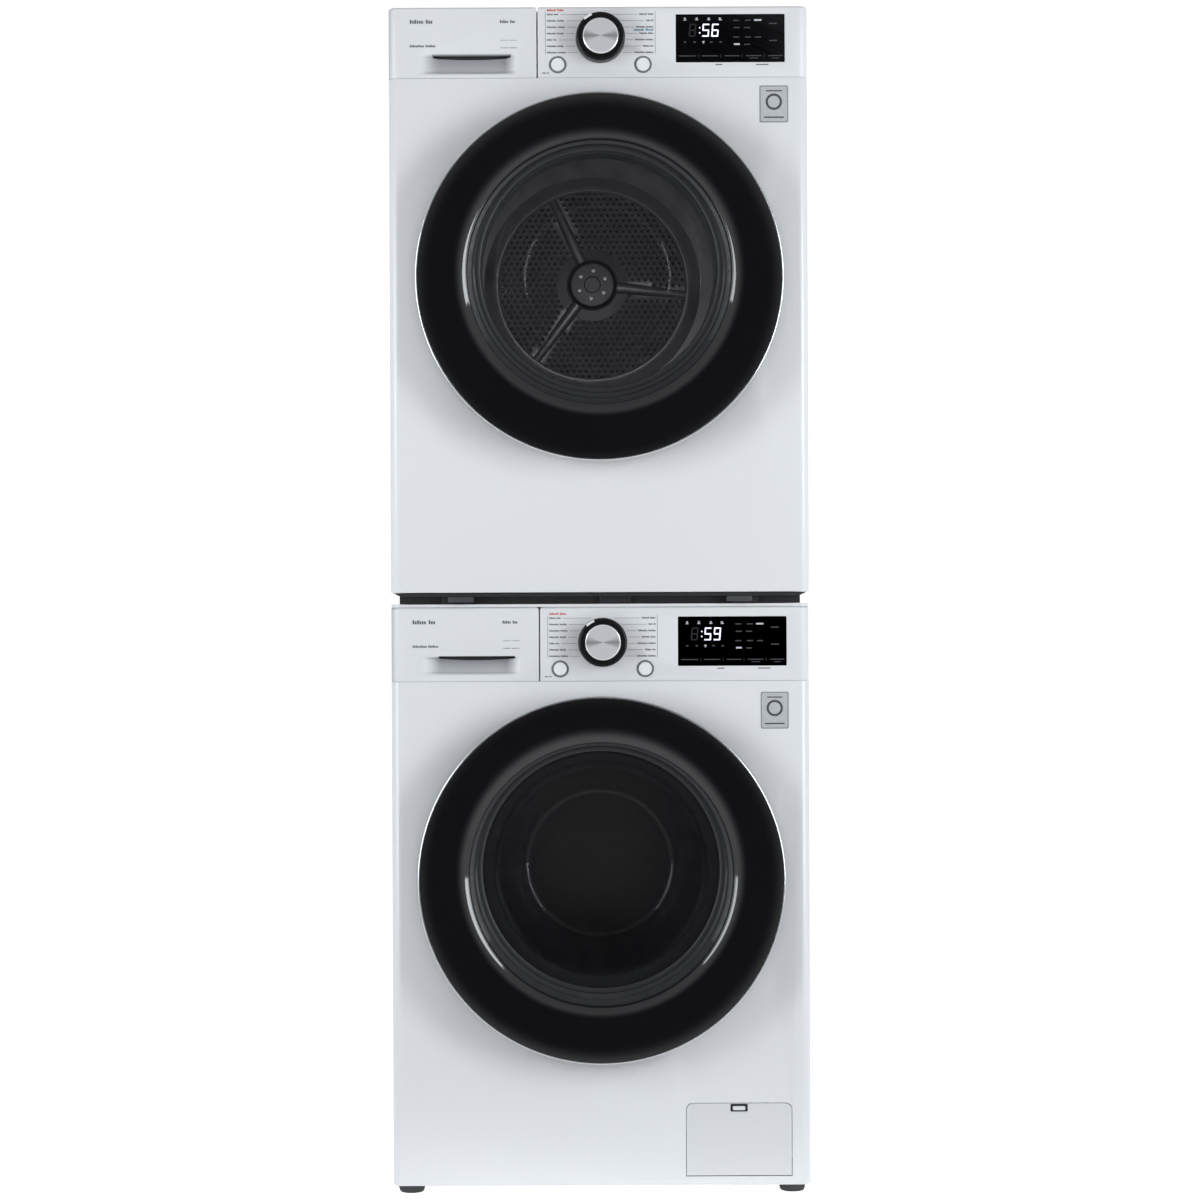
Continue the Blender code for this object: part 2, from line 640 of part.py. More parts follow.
def washer_cabinet():
    m = WASHER
    wrap = cabinet(m, foot_holes("rear"))
    gland = box("washer_cord_gland", (0.205, m.back - 0.001, 0.755),
                (0.235, m.back + 0.008, 0.785))
    join(wrap, gland)
    for side, word in ((-1, "left"), (1, "right")):
        hanger = box(f"spring_hanger_{word}", *ordered(
            (side * 0.246, 0.125, 0.8035), (side * 0.299, 0.155, 0.8180)))
        damper_foot = box(f"damper_foot_{word}", *ordered(
            (side * 0.140, -0.022, m.base + 0.001), (side * 0.180, 0.012, 0.0400)))
        join(wrap, hanger, damper_foot)
    for word, x, z, reach, outer, bore in (
        ("cold_inlet", -0.20, 0.770, 0.022, 0.013, 0.006),
        ("hot_inlet", -0.14, 0.770, 0.022, 0.013, 0.006),
        ("drain_outlet", 0.22, 0.700, 0.025, 0.015, 0.011),
    ):
        spout = rod(word, outer, m.back - 0.010, m.back + reach, (x, 0, z), steps=12)
        passage = rod(f"{word}_bore", bore, m.back - 0.030, m.back + 0.050, (x, 0, z), steps=12)
        join(wrap, spout)
        cut(wrap, passage)


def washer_top_panel():
    m = WASHER
    front = m.front + PANEL_DEPTH + GAP
    top = box("washer_top_panel", (-HALF_WIDTH, front, m.body_top + GAP),
              (HALF_WIDTH, m.back, WASHER_TOP), "white_enamel")
    lip = box("top_lip", (-HALF_WIDTH, m.front + 0.004, m.fascia_top + GAP),
              (HALF_WIDTH, front + 0.020, WASHER_TOP))
    join(top, lip)


def dryer_cabinet():
    """The dryer's wrap, with a pressed cover over the rear air duct and a cord gland."""
    m = DRYER
    wrap = cabinet(m, [])
    duct = turned("rear_duct_cover", [
        (0, m.back - 0.001), (0.230, m.back - 0.001), (0.225, m.back + 0.005),
        (0, m.back + 0.005),
    ], (0, 0, m.drum_z - 0.02), steps=28)
    gland = box("dryer_cord_gland", (0.220, m.back - 0.001, 0.930),
                (0.250, m.back + 0.005, 0.960))
    join(wrap, duct, gland)


def dryer_top_panel():
    m = DRYER
    box("dryer_top_panel", (-HALF_WIDTH, m.front + PANEL_DEPTH + GAP, m.body_top + GAP),
        (HALF_WIDTH, m.back, m.fascia_top), "white_enamel", 0.002)


def dryer_inside():
    m = DRYER
    bulkhead = box("dryer_bulkhead", (-0.285, m.front + 0.0330, 1.0900),
                   (0.285, m.front + 0.0550, 1.5900), "grey_plastic")
    collar = turned("bulkhead_collar", [
        (0.168, 0.0030), (0.176, 0.0030), (0.182, 0.0400), (0.168, 0.0400),
    ], (0, m.front, m.dish_z), steps=36)
    mouth = rod("bulkhead_cutter", 0.168, -0.01, 0.09, (0, m.front, m.dish_z), steps=36)
    filter_slot = box("filter_slot_cutter", (-0.0920, m.front + 0.0360, 1.1000),
                      (0.0920, m.front + 0.0520, 1.2200))
    join(bulkhead, collar)
    cut(bulkhead, mouth, filter_slot)
    lint = box("dryer_lint_filter", (-0.0900, m.front + 0.0368, 1.1010),
               (0.0900, m.front + 0.0512, 1.1620), "grey_plastic", 0.002)
    lint_room = rod("lint_cutter", 0.1685, -0.01, 0.09, (0, m.front, m.dish_z), steps=48)
    lint_hollow = box("lint_hollow_cutter", (-0.0860, m.front + 0.0400, 1.1050),
                      (0.0860, m.front + 0.0480, 1.2000))
    cut(lint, lint_room, lint_hollow)
    centre = (0, m.front, m.drum_z)
    turned("dryer_drum", [
        (0.2150, 0.0570), (0.2520, 0.0570), (DRYER_DRUM_RADIUS, 0.0660),
        (DRYER_DRUM_RADIUS, 0.5200), (0.2550, 0.5280), (0.1680, 0.5280), (0.1680, 0.5262),
        (0.2540, 0.5262), (DRYER_DRUM_RADIUS - SHEET, 0.5190),
        (DRYER_DRUM_RADIUS - SHEET, 0.0670), (0.2515, 0.0590), (0.2150, 0.0590),
    ], centre, "dark_drum", 40)
    turned("dryer_drum_back", [
        (0, 0.5170), (0.0400, 0.5170), (0.0460, 0.5285), (0.1800, 0.5285), (0.1800, 0.5310),
        (0.0300, 0.5310), (0.0300, 0.5400), (0.0100, 0.5400), (0.0100, 0.6150), (0, 0.6150),
    ], centre, "dark_drum", 32)
    for word, degrees in DRYER_LIFTERS:
        lifter(f"dryer_lifter_{word}", m, degrees, DRYER_DRUM_RADIUS - SHEET - 0.0020,
               DRYER_LIFTER_TIP, LIFTER_START, LIFTER_END, "dark_plastic")
    turned("dryer_compressor", [
        (0, 0.8760), (0.0650, 0.8760), (0.0720, 0.8900), (0.0720, 1.0100), (0.0600, 1.0350),
        (0.0250, 1.0480), (0, 1.0480),
    ], (0.165, 0.150, 0), "dark_plastic", 20, True)
    exchanger = box("dryer_heat_exchanger", (-0.275, -0.190, 0.8700), (-0.010, 0.120, 1.0300),
                    "aluminium", 0.003)
    duct = box("exchanger_cutter", (-0.245, -0.200, 0.899), (-0.040, -0.170, 1.000))
    cut(exchanger, duct)
    rod("dryer_motor", 0.0500, -0.230, -0.080, (0.175, 0, 0.940), "zinc_steel", 28)


def stacking_frame():
    """Rails along both sides and a front bar with three pads, between the two machines."""
    low = WASHER_TOP + GAP
    high = DRYER.base - GAP
    front = DRYER.front + 0.022
    bar = box("stacking_frame", (-0.288, front, low), (0.288, front + 0.030, high),
              "dark_plastic")
    for side, word in ((-1, "left"), (1, "right")):
        rail = box(f"rail_{word}", *ordered((side * 0.252, front + 0.010, low),
                                            (side * 0.288, WASHER.back - 0.010, high)))
        pad = box(f"pad_{word}", *ordered((side * 0.190, front - 0.008, low + 0.001),
                                          (side * 0.226, front + 0.010, high - 0.003)))
        join(bar, rail, pad)
    middle = box("pad_middle", (0, front - 0.006, low + 0.001),
                 (0.044, front + 0.010, high - 0.004))
    join(bar, middle)


def hinge_axis(m):
    return axis_point(f"{m.name}_door_axis", (HINGE_X, m.front + HINGE_DEPTH, m.door_z))


def front_set(m):
    """What both machines carry on their fronts."""
    control_panel(m)
    display(m)
    knob(m)
    buttons(m)
    door_hinge(m)
    door(m, hinge_axis(m))


def washer():
    washer_cabinet()
    washer_top_panel()
    panel = front_panel(WASHER)
    washer_front_extras(panel)
    front_set(WASHER)
    washer_drawer()
    washer_inside()
    feet()


def dryer():
    dryer_cabinet()
    dryer_top_panel()
    front_panel(DRYER)
    front_set(DRYER)
    dryer_drawer()
    dryer_inside()


washer()
stacking_frame()
dryer()
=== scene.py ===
"""Looks of the washer dryer stack: panels, doors, drums, controls and their materials.

Metres, +Z up, fronts facing -Y. Places come from the CAD nodes' boxes. A depth is counted from a
machine's front face towards +Y.
"""

import math

import bmesh
import bpy
from mathutils import Matrix, Vector


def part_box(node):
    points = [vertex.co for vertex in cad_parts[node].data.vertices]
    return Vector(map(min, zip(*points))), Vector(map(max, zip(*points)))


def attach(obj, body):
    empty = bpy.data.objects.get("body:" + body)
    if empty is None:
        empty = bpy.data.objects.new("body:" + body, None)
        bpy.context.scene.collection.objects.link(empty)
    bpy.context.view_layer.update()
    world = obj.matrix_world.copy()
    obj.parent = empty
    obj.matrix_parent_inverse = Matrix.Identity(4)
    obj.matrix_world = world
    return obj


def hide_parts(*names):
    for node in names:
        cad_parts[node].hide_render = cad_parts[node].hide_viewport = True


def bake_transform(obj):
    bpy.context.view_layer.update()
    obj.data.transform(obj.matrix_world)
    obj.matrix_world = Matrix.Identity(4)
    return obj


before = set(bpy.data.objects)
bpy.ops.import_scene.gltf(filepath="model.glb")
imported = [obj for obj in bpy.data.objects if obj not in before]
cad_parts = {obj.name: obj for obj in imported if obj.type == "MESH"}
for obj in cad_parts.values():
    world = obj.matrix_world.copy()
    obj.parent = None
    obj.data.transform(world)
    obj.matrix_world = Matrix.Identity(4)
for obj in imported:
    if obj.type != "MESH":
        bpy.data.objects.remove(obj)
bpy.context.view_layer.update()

EDGE_RADIUS = 0.014
SHEET = 0.002
RING_STEPS = 192
DISH = 0.2165
DISH_RISE = 0.0125
DISH_DEPTH = 0.0074
WINDOW = 0.1885
WINDOW_RISE = 0.0073
SEAM = 0.0005
PRINT = 0.00002
TINY = 1e-6
OPENING_RADIUS = 0.172
PLATE_RADIUS = 0.158
HOLE_RADIUS = 0.0029
HOLE_PITCH = 0.0100
HUB_REACH = 0.052
SPOKE_HALF_WIDTH = 0.010
SCREW_INSET = 0.016
LOUVRE_PITCH = 0.012
EYE_DISTANCE = 4.2
EYE_HEIGHT = 0.851
VIEW_WIDTH = 1.7215
WASHER_BACK = 0.2775
DRYER_BACK = 0.3375


class Machine:
    """Where the parts of one machine's front are."""

    def __init__(self, name, door_body, drawer_body):
        self.name = name
        self.door_body = door_body
        self.drawer_body = drawer_body
        self.panel_low, self.panel_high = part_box(f"{name}_front_panel")
        self.front = self.panel_low.y
        ring_low, ring_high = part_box(f"{name}_door_ring")
        self.door_z = (ring_low.z + ring_high.z) / 2
        self.ring_radius = (ring_high.x - ring_low.x) / 2
        self.ring_front = ring_low.y - self.front
        self.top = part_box(f"{name}_control_panel")[1].z
        self.slot = (-0.2320, -0.1230) if name == "washer" else (-0.2375, -0.1255)
        self.rim_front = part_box(f"{name}_door_trim")[0].y - self.front
        glass_low, glass_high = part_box(f"{name}_door_glass")
        self.dish_z = (glass_low.z + glass_high.z) / 2
        drum_low, drum_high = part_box(f"{name}_drum")
        self.drum_z = (drum_low.z + drum_high.z) / 2
        self.drum_low = drum_low
        self.drum_high = drum_high


WASHER = Machine("washer", "washer_door", "detergent_drawer")
DRYER = Machine("dryer", "dryer_door", "water_drawer")


# ---------------------------------------------------------------- materials

class Graph:
    """The nodes of a material or a world."""

    def __init__(self, owner):
        owner.use_nodes = True
        self.tree = owner.node_tree

    def node(self, kind, inputs=(), **settings):
        made = self.tree.nodes.new("ShaderNode" + kind)
        for name, value in settings.items():
            setattr(made, name, value)
        self.feed(made, inputs)
        return made

    def feed(self, node, inputs):
        """Links an input, by name or number, to an output, or else sets its value."""
        for name, value in dict(inputs).items():
            if isinstance(value, bpy.types.NodeSocket):
                self.tree.links.new(value, node.inputs[name])
            else:
                node.inputs[name].default_value = value

    def axes(self, kind):
        """The place in a texture coordinate, axis by axis."""
        place = self.node("TexCoord").outputs[kind]
        return self.node("SeparateXYZ", {"Vector": place}).outputs

    def ramp(self, factor, low, high, start=0.3, end=0.7):
        made = self.node("ValToRGB", {"Fac": factor})
        for stop, colour, place in zip(made.color_ramp.elements, (low, high), (start, end)):
            stop.position = place
            stop.color = colour
        return made


class Surface(Graph):
    """A node material around one Principled shader."""

    def __init__(self, name, colour, roughness, metallic=0.0, **sockets):
        self.material = bpy.data.materials.new(name)
        super().__init__(self.material)
        self.shader = self.tree.nodes["Principled BSDF"]
        self.colour = colour
        self.roughness = roughness
        self.feed(self.shader, {"Base Color": (*colour, 1.0), "Roughness": roughness,
                                "Metallic": metallic})
        self.feed(self.shader, {name.replace("_", " "): value for name, value in sockets.items()})
        self.place = self.node("TexCoord").outputs["Object"]

    def noise(self, scale, detail=3.0, stretch=(1, 1, 1)):
        mapping = self.node("Mapping", {"Scale": stretch, "Vector": self.place})
        return self.node("TexNoise", {"Scale": scale, "Detail": detail,
                                      "Vector": mapping.outputs["Vector"]}).outputs["Fac"]

    def wander(self, socket, factor, low, high, start=0.3, end=0.7):
        shades = self.ramp(factor, (*low, 1.0), (*high, 1.0), start, end)
        self.feed(self.shader, {socket: shades.outputs["Color"]})
        return self

    def tone(self, factor, spread, *ends):
        """Lets the colour wander by a share of itself."""
        return self.wander("Base Color", factor, [max(0.0, c * (1 - spread)) for c in self.colour],
                           [min(1.0, c * (1 + spread)) for c in self.colour], *ends)

    def gloss(self, factor, spread):
        """Lets the roughness wander."""
        return self.wander("Roughness", factor, [max(0.0, self.roughness - spread)] * 3,
                           [min(1.0, self.roughness + spread)] * 3)

    def bump(self, factor, depth):
        made = self.node("Bump", {"Distance": depth, "Strength": 1.0, "Height": factor})
        self.feed(self.shader, {"Normal": made.outputs["Normal"]})
        return self


def varied(name, colour, roughness, tone, gloss=None, bump=None, **sockets):
    """A material whose colour, roughness and height wander, each by (scale, detail, amount)."""
    made = Surface(name, colour, roughness, **sockets)
    for change, how in ((made.tone, tone), (made.gloss, gloss), (made.bump, bump)):
        if how:
            scale, detail, amount = how
            change(made.noise(scale, detail), amount)
    return made.material


def brushed_cap_painted_reflection(centre):
    """Metal turned on a lathe: fine rings, and a painted reflection: its colour is darker to each
    side of the axis, standing in for the dark sectors that brushed metal reflects.
    """
    made = Surface("knob_cap", (0.58, 0.58, 0.59), 0.42, 0.55)
    axes = made.axes("Object")
    flat = made.node("CombineXYZ", {"X": axes["X"], "Y": axes["Z"]}).outputs["Vector"]
    move = made.node("Mapping", {"Location": (-centre.x, -centre.z, 0), "Vector": flat})
    about = move.outputs["Vector"]
    turn = made.node("TexGradient", {"Vector": about}, gradient_type="RADIAL").outputs["Fac"]
    angle = made.node("Math", {0: turn, 1: math.tau}, operation="MULTIPLY").outputs["Value"]
    sine = made.node("Math", {0: angle}, operation="SINE").outputs["Value"]
    painted_reflection_fan = made.node("Math", {0: sine}, operation="ABSOLUTE").outputs["Value"]
    # Painted reflection: the colour darkens to the left and right of the middle, as brushed metal's
    # reflected sectors would.
    made.tone(painted_reflection_fan, 0.42, 0.0, 0.45)
    reach = made.node("VectorMath", {0: about}, operation="LENGTH").outputs["Value"]
    rings = made.node("TexNoise", noise_dimensions="1D")
    made.feed(rings, {"Scale": 5200.0, "Detail": 2.0, "W": reach})
    made.gloss(rings.outputs["Fac"], 0.08)
    return made.bump(rings.outputs["Fac"], 0.00001).material


def scoop_painted_shade_plastic(m):
    """The fascia's plastic with painted shade: its colour darkens with depth into the finger scoop,
    standing in for the shade that gathers there.
    """
    made = Surface(f"{m.name}_drawer_plastic", PLASTIC_WHITE, 0.42)
    made.gloss(made.noise(9.0, 1.0), 0.03)
    depth = made.node("MapRange", {"From Min": m.front + 0.0015, "From Max": m.front + 0.0150,
                                   "Value": made.axes("Object")["Y"]}).outputs["Result"]
    # Painted shade: the colour turns grey with depth, standing in for the shade in the scoop and
    # slot.
    shade = made.ramp(depth, (*PLASTIC_WHITE, 1), (0.30, 0.305, 0.32, 1), 0.0, 1.0)
    made.feed(made.shader, {"Base Color": shade.outputs["Color"]})
    return made.material


def white(name, colour, grain):
    return varied(name, colour, 0.38, (grain, 1.0, 0.006), (grain * 2, 1.0, 0.02))


def glow(name, colour, strength):
    return varied(name, colour, 0.5, (400.0, 3.0, 0.06), Emission_Color=(*colour, 1.0),
                  Emission_Strength=strength)


def ink(name, colour):
    return varied(name, colour, 0.55, (700.0, 3.0, 0.10), (300.0, 3.0, 0.05))


def steel(name, colour, roughness, stretch, metallic=1.0):
    """Rolled steel with its grain drawn out along one axis."""
    made = Surface(name, colour, roughness, metallic)
    grain = made.noise(260.0, 3.0, stretch)
    made.tone(grain, 0.08)
    made.gloss(grain, 0.05)
    return made.bump(made.noise(900.0, 2.0, stretch), 0.000002).material


def moulded(name, colour, roughness, grain=900.0, depth=0.00003):
    return varied(name, colour, roughness, (14.0, 3.0, 0.08), (120.0, 3.0, 0.06),
                  (grain, 3.0, depth))


PLASTIC_WHITE = (0.808, 0.812, 0.824)
ENAMEL = varied("white_enamel", (0.838, 0.841, 0.852), 0.30, (2.0, 1.0, 0.008), (6.0, 1.0, 0.02),
                Coat_Weight=0.12, Coat_Roughness=0.15)
PLASTIC = varied("white_plastic", PLASTIC_WHITE, 0.42, (3.0, 1.0, 0.008), (9.0, 1.0, 0.03))
BLACK = varied("black_gloss", (0.0045, 0.0045, 0.0055), 0.06, (6.0, 3.0, 0.08),
               (18.0, 3.0, 0.015), Specular_IOR_Level=0.65)
SILVER = varied("silver_trim", (0.66, 0.67, 0.69), 0.20, (30.0, 3.0, 0.04), (120.0, 3.0, 0.04),
                (1500.0, 2.0, 0.000004), metallic=1.0)
GLASS = varied("tinted_glass", (0.006, 0.006, 0.008), 0.05, (4.0, 3.0, 0.10),
               (25.0, 3.0, 0.012), Alpha=0.36, Specular_IOR_Level=0.22)
KNOB_BLACK = varied("knob_black", (0.006, 0.006, 0.007), 0.30, (50.0, 3.0, 0.10),
                    (200.0, 3.0, 0.05), Specular_IOR_Level=0.25)
SCREEN = varied("display_glass", (0.0022, 0.0022, 0.0028), 0.10, (8.0, 3.0, 0.10),
                (30.0, 3.0, 0.02))
CAP_WHITE = white("button_white", (0.90, 0.905, 0.915), 30.0)
COVER_WHITE = white("cover_white", (0.755, 0.758, 0.768), 3.0)
DIGITS = glow("lit_digits", (0.80, 0.80, 0.98), 0.85)
DIM_DIGITS = glow("dim_digits", (0.012, 0.012, 0.015), 0.05)
ICON_INK = glow("lit_icons", (0.40, 0.41, 0.45), 0.45)
FAINT_INK = glow("faint_icons", (0.050, 0.052, 0.058), 0.06)
GREY_INK = ink("grey_print", (0.12, 0.123, 0.13))
PALE_INK = ink("pale_print", (0.26, 0.27, 0.29))
RED_INK = ink("red_print", (0.62, 0.10, 0.09))
BLUE_INK = ink("blue_print", (0.10, 0.28, 0.42))
WASHER_STEEL = steel("stainless", (0.42, 0.42, 0.43), 0.34, (0.15, 0.15, 0.15))
DRYER_STEEL = steel("dark_drum", (0.20, 0.20, 0.22), 0.40, (0.15, 0.15, 0.15))
BACK_STEEL = steel("back_plate_steel", (0.20, 0.20, 0.22), 0.40, (0.1, 0.1, 0.1), 0.60)
HUB_STEEL = steel("hub_steel", (0.07, 0.07, 0.08), 0.42, (0.1, 0.1, 0.1), 0.5)
ZINC = steel("zinc_steel", (0.46, 0.47, 0.48), 0.42, (1, 1, 0.1))
COPPER = steel("copper", (0.66, 0.34, 0.20), 0.38, (0.2, 1, 0.2))
FINS = steel("aluminium", (0.62, 0.63, 0.64), 0.40, (6, 0.2, 0.2))
DARK = moulded("dark_plastic", (0.018, 0.018, 0.020), 0.52)
GREY = moulded("grey_plastic", (0.20, 0.21, 0.22), 0.55)
RUBBER = moulded("rubber", (0.045, 0.045, 0.048), 0.74, 1400.0, 0.00005)
MILKY = moulded("clear_tank", (0.50, 0.55, 0.60), 0.30, 500.0, 0.00001)
CONCRETE = varied("concrete", (0.36, 0.35, 0.33), 0.92, (38.0, 8.0, 0.22),
                  bump=(160.0, 6.0, 0.0006))
BEZEL = moulded("bezel_plastic", (0.012, 0.012, 0.015), 0.50, 300.0, 0.0000002)
LIFTER = moulded("lifter_plastic", (0.30, 0.30, 0.32), 0.45)
DARK_LIFTER = moulded("dark_lifter", (0.20, 0.20, 0.22), 0.35)
PAD_GREY = moulded("pad_grey", (0.050, 0.050, 0.056), 0.55)
BADGE = ink("badge_edge", (0.30, 0.31, 0.32))
BADGE_FACE = ink("badge_face", (0.52, 0.53, 0.54))
BADGE_INK = ink("badge_print", (0.07, 0.07, 0.08))


# ---------------------------------------------------------------- mesh tools

def placed_object(name, data):
    obj = bpy.data.objects.new(name, data)
    bpy.context.scene.collection.objects.link(obj)
    return obj


def paint(mesh, material):
    mesh.materials.clear()
    mesh.materials.append(material)


def piece(name, mesh, body, material, replaces=(), sharp=35):
    """A finished piece: shaded, painted, riding on its body."""
    if isinstance(mesh, bmesh.types.BMesh):
        mesh = finished(name, mesh)
    obj = placed_object(name, mesh)
    paint(mesh, material)
    mesh.shade_smooth()
    mesh.set_sharp_from_angle(angle=math.radians(sharp))
    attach(obj, body)
    if replaces:
        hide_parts(*replaces)
    return obj


def lathe(name, outline, centre, steps=96, upright=False):
    """A mesh turned about an axis along +Y, or +Z when upright, from (radius, depth) corners.

    A closed outline has no corner on the axis. One that starts or ends on the axis is closed there.
    """
    work = bmesh.new()
    open_ended = any(r == 0 for r, _ in outline)
    rows = []
    for radius, depth in outline:
        if radius == 0:
            point = (0, 0, depth) if upright else (0, depth, 0)
            rows.append([work.verts.new(point)] * steps)
            continue
        row = []
        for i in range(steps):
            angle = math.tau * i / steps
            x = radius * math.cos(angle)
            side = radius * math.sin(angle)
            row.append(work.verts.new((x, side, depth) if upright else (x, depth, side)))
        rows.append(row)
    pairs = list(zip(rows, rows[1:]))
    if not open_ended:
        pairs.append((rows[-1], rows[0]))
    bridge(work, pairs, steps)
    return finished(name, work, centre)


def bridge(work, pairs, steps):
    """Quads, or triangles at a point, between rings of vertices."""
    for first, second in pairs:
        for i in range(steps):
            j = (i + 1) % steps
            corners = []
            for vert in (first[i], first[j], second[j], second[i]):
                if vert not in corners:
                    corners.append(vert)
            if len(corners) > 2:
                work.faces.new(corners)


def finished(name, work, centre=(0, 0, 0)):
    """The bmesh as a mesh in place, its faces turned outwards."""
    bmesh.ops.translate(work, verts=work.verts, vec=Vector(centre))
    bmesh.ops.recalc_face_normals(work, faces=work.faces)
    mesh = bpy.data.meshes.new(name)
    work.to_mesh(mesh)
    work.free()
    return mesh


def arc(centre_r, centre_d, radius, start, end, count):
    """Corners along an arc, in degrees, as (radius, depth)."""
    points = []
    for i in range(count + 1):
        angle = math.radians(start + (end - start) * i / count)
        points.append((centre_r + radius * math.cos(angle), centre_d + radius * math.sin(angle)))
    return points


def cube(low, high):
    work = bmesh.new()
    size = Matrix.Diagonal((*(high - low), 1.0))
    bmesh.ops.create_cube(work, size=1.0, matrix=Matrix.Translation((low + high) / 2) @ size)
    return work


def block(name, low, high, radius=0.001, segments=3):
    """A box with all its edges rounded."""
    work = cube(Vector(low), Vector(high))
    if radius:
        soften(work, work.edges[:], radius, segments)
    return finished(name, work)


def rounded_outline(left, low, right, high, radius, count=6):
    """The (x, z) corners of a rectangle with round corners, anticlockwise."""
    points = []
    for cx, cz, start in (
        (right - radius, low + radius, -90), (right - radius, high - radius, 0),
        (left + radius, high - radius, 90), (left + radius, low + radius, 180),
    ):
        for i in range(count + 1):
            angle = math.radians(start + 90 * i / count)
            points.append((cx + radius * math.cos(angle), cz + radius * math.sin(angle)))
    return points


def arched_outline(left, low, right, high, radius):
    """An outline with round upper corners and square lower ones."""
    return [(x, max(z, low))
            for x, z in rounded_outline(left, low - radius, right, high, radius, 8)]


def slab(name, outline, front, back, bevel=0.0, segments=3):
    """A plate of an (x, z) outline between two depths, its front edge softened."""
    work = bmesh.new()
    faces = add_slab(work, outline, front, back)
    if bevel:
        soften(work, faces[0].edges[:], bevel, segments)
    return finished(name, work)


def add_slab(work, outline, front, back):
    near = [work.verts.new((x, front, z)) for x, z in outline]
    far = [work.verts.new((x, back, z)) for x, z in outline]
    faces = [work.faces.new(near), work.faces.new(far[::-1])]
    for i in range(len(outline)):
        j = (i + 1) % len(outline)
        faces.append(work.faces.new((near[i], far[i], far[j], near[j])))
    return faces


def soften(work, edges, offset, segments=2):
    """Rounds edges of a bmesh."""
    bmesh.ops.bevel(work, geom=edges, offset=offset, segments=segments, profile=0.5,
                    affect="EDGES")


def evaluated(obj):
    """The object's mesh with its modifiers applied."""
    bpy.context.view_layer.update()
    graph = bpy.context.evaluated_depsgraph_get()
    return bpy.data.meshes.new_from_object(obj.evaluated_get(graph))


def round_modifier(obj, width, angle):
    """A bevel on the edges sharper than an angle."""
    soft = obj.modifiers.new("soft", "BEVEL")
    soft.width = width
    soft.segments = 2
    soft.limit_method = "ANGLE"
    soft.angle_limit = math.radians(angle)
    return soft


def carve(mesh, cutters, fillers=(), edge=0.0005):
    """The mesh joined with fillers, cut by cutters, and its sharp edges softened."""
    obj = placed_object("carved", mesh)
    used = [obj]
    for other, operation in [(m, "UNION") for m in fillers] + [(m, "DIFFERENCE") for m in cutters]:
        tool = placed_object("tool", other)
        used.append(tool)
        change = obj.modifiers.new("change", "BOOLEAN")
        change.operation = operation
        change.solver = "EXACT"
        change.object = tool
    if edge:
        round_modifier(obj, edge, 50)
    result = evaluated(obj)
    for each in used:
        bpy.data.objects.remove(each)
    return result


def tray(low, high, rounded, top_radius=0.0):
    """A sheet tray open to the back: front and rims, with round upright edges."""
    work = cube(low, high)
    sides = [{"left": low.x, "right": high.x}[side] for side in rounded]
    upright = [
        edge for edge in work.edges
        if all(abs(v.co.y - low.y) < TINY for v in edge.verts)
        and any(all(abs(v.co.x - x) < TINY for v in edge.verts) for x in sides)
    ]
    soften(work, upright, EDGE_RADIUS, 12)
    if top_radius:
        rim = [
            edge for edge in work.edges
            if all(abs(v.co.z - high.z) < TINY for v in edge.verts)
            and any(v.co.y < low.y + EDGE_RADIUS - TINY for v in edge.verts)
        ]
        soften(work, rim, top_radius, 6)
    back = [f for f in work.faces if all(abs(v.co.y - high.y) < TINY for v in f.verts)]
    bmesh.ops.delete(work, geom=back, context="FACES")
    mesh = finished("tray", work)
    obj = placed_object("tray", mesh)
    wall = obj.modifiers.new("sheet", "SOLIDIFY")
    wall.thickness = SHEET
    wall.offset = -1
    result = evaluated(obj)
    bpy.data.objects.remove(obj)
    return result


def drill(radius, x, z, front, steps=64):
    """A round cutter through a panel."""
    outline = [(0, -0.03), (radius, -0.03), (radius, 0.05), (0, 0.05)]
    return lathe("drill", outline, (x, front, z), steps)


def dress(name, material, soft=0.0006):
    """A CAD node kept as it is, with softened edges and its own material."""
    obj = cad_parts[name]
    paint(obj.data, material)
    obj.data.shade_smooth()
    weld = obj.modifiers.new("weld", "WELD")
    weld.merge_threshold = 0.00002
    if soft:
        round_modifier(obj, soft, 40)
    even = obj.modifiers.new("even", "WEIGHTED_NORMAL")
    even.weight = 60


def stretched(name, mesh, node, material):
    """A piece in place of a hidden CAD node, its transform baked into its mesh."""
    obj = placed_object(name, mesh)
    paint(mesh, material)
    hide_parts(node)
    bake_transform(obj)


def stretched_node(node, material):
    """A copy of a CAD spring or damper, shaded smooth, put in place of the node."""
    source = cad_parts[node]
    mesh = source.data.copy()
    mesh.transform(source.matrix_world)
    mesh.shade_smooth()
    stretched(f"{node}_stretch", mesh, node, material)


# ---------------------------------------------------------------- fronts

def front_panel(m):
    low, high = m.panel_low, m.panel_high
    holes = [drill(OPENING_RADIUS, 0, m.dish_z, m.front, 128)]
    slot_low = Vector((0.212, m.front - 0.02, m.door_z - 0.018))
    holes.append(block("slot", slot_low, slot_low + Vector((0.021, 0.04, 0.036)), 0))
    if m is WASHER:
        cover_low, cover_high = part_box("washer_filter_cover")
        outline = arched_outline(cover_low.x - 0.0008, cover_low.z - 0.0012,
                                 cover_high.x + 0.0008, cover_high.z + 0.0008, 0.0100)
        holes.append(slab("opening", outline, m.front - 0.02, m.front + 0.02))
        for side in ("left", "right"):
            foot_low, foot_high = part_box(f"washer_foot_front_{side}")
            centre = (foot_low + foot_high) / 2
            stem = [(0, -0.03), (0.0068, -0.03), (0.0068, 0.03), (0, 0.03)]
            holes.append(lathe("stem", stem, (centre.x, centre.y, 0), 16, True))
    mesh = carve(tray(low, high, ("left", "right")), holes)
    piece(f"{m.name}_front", mesh, "root", ENAMEL,
          (f"{m.name}_front_panel",))


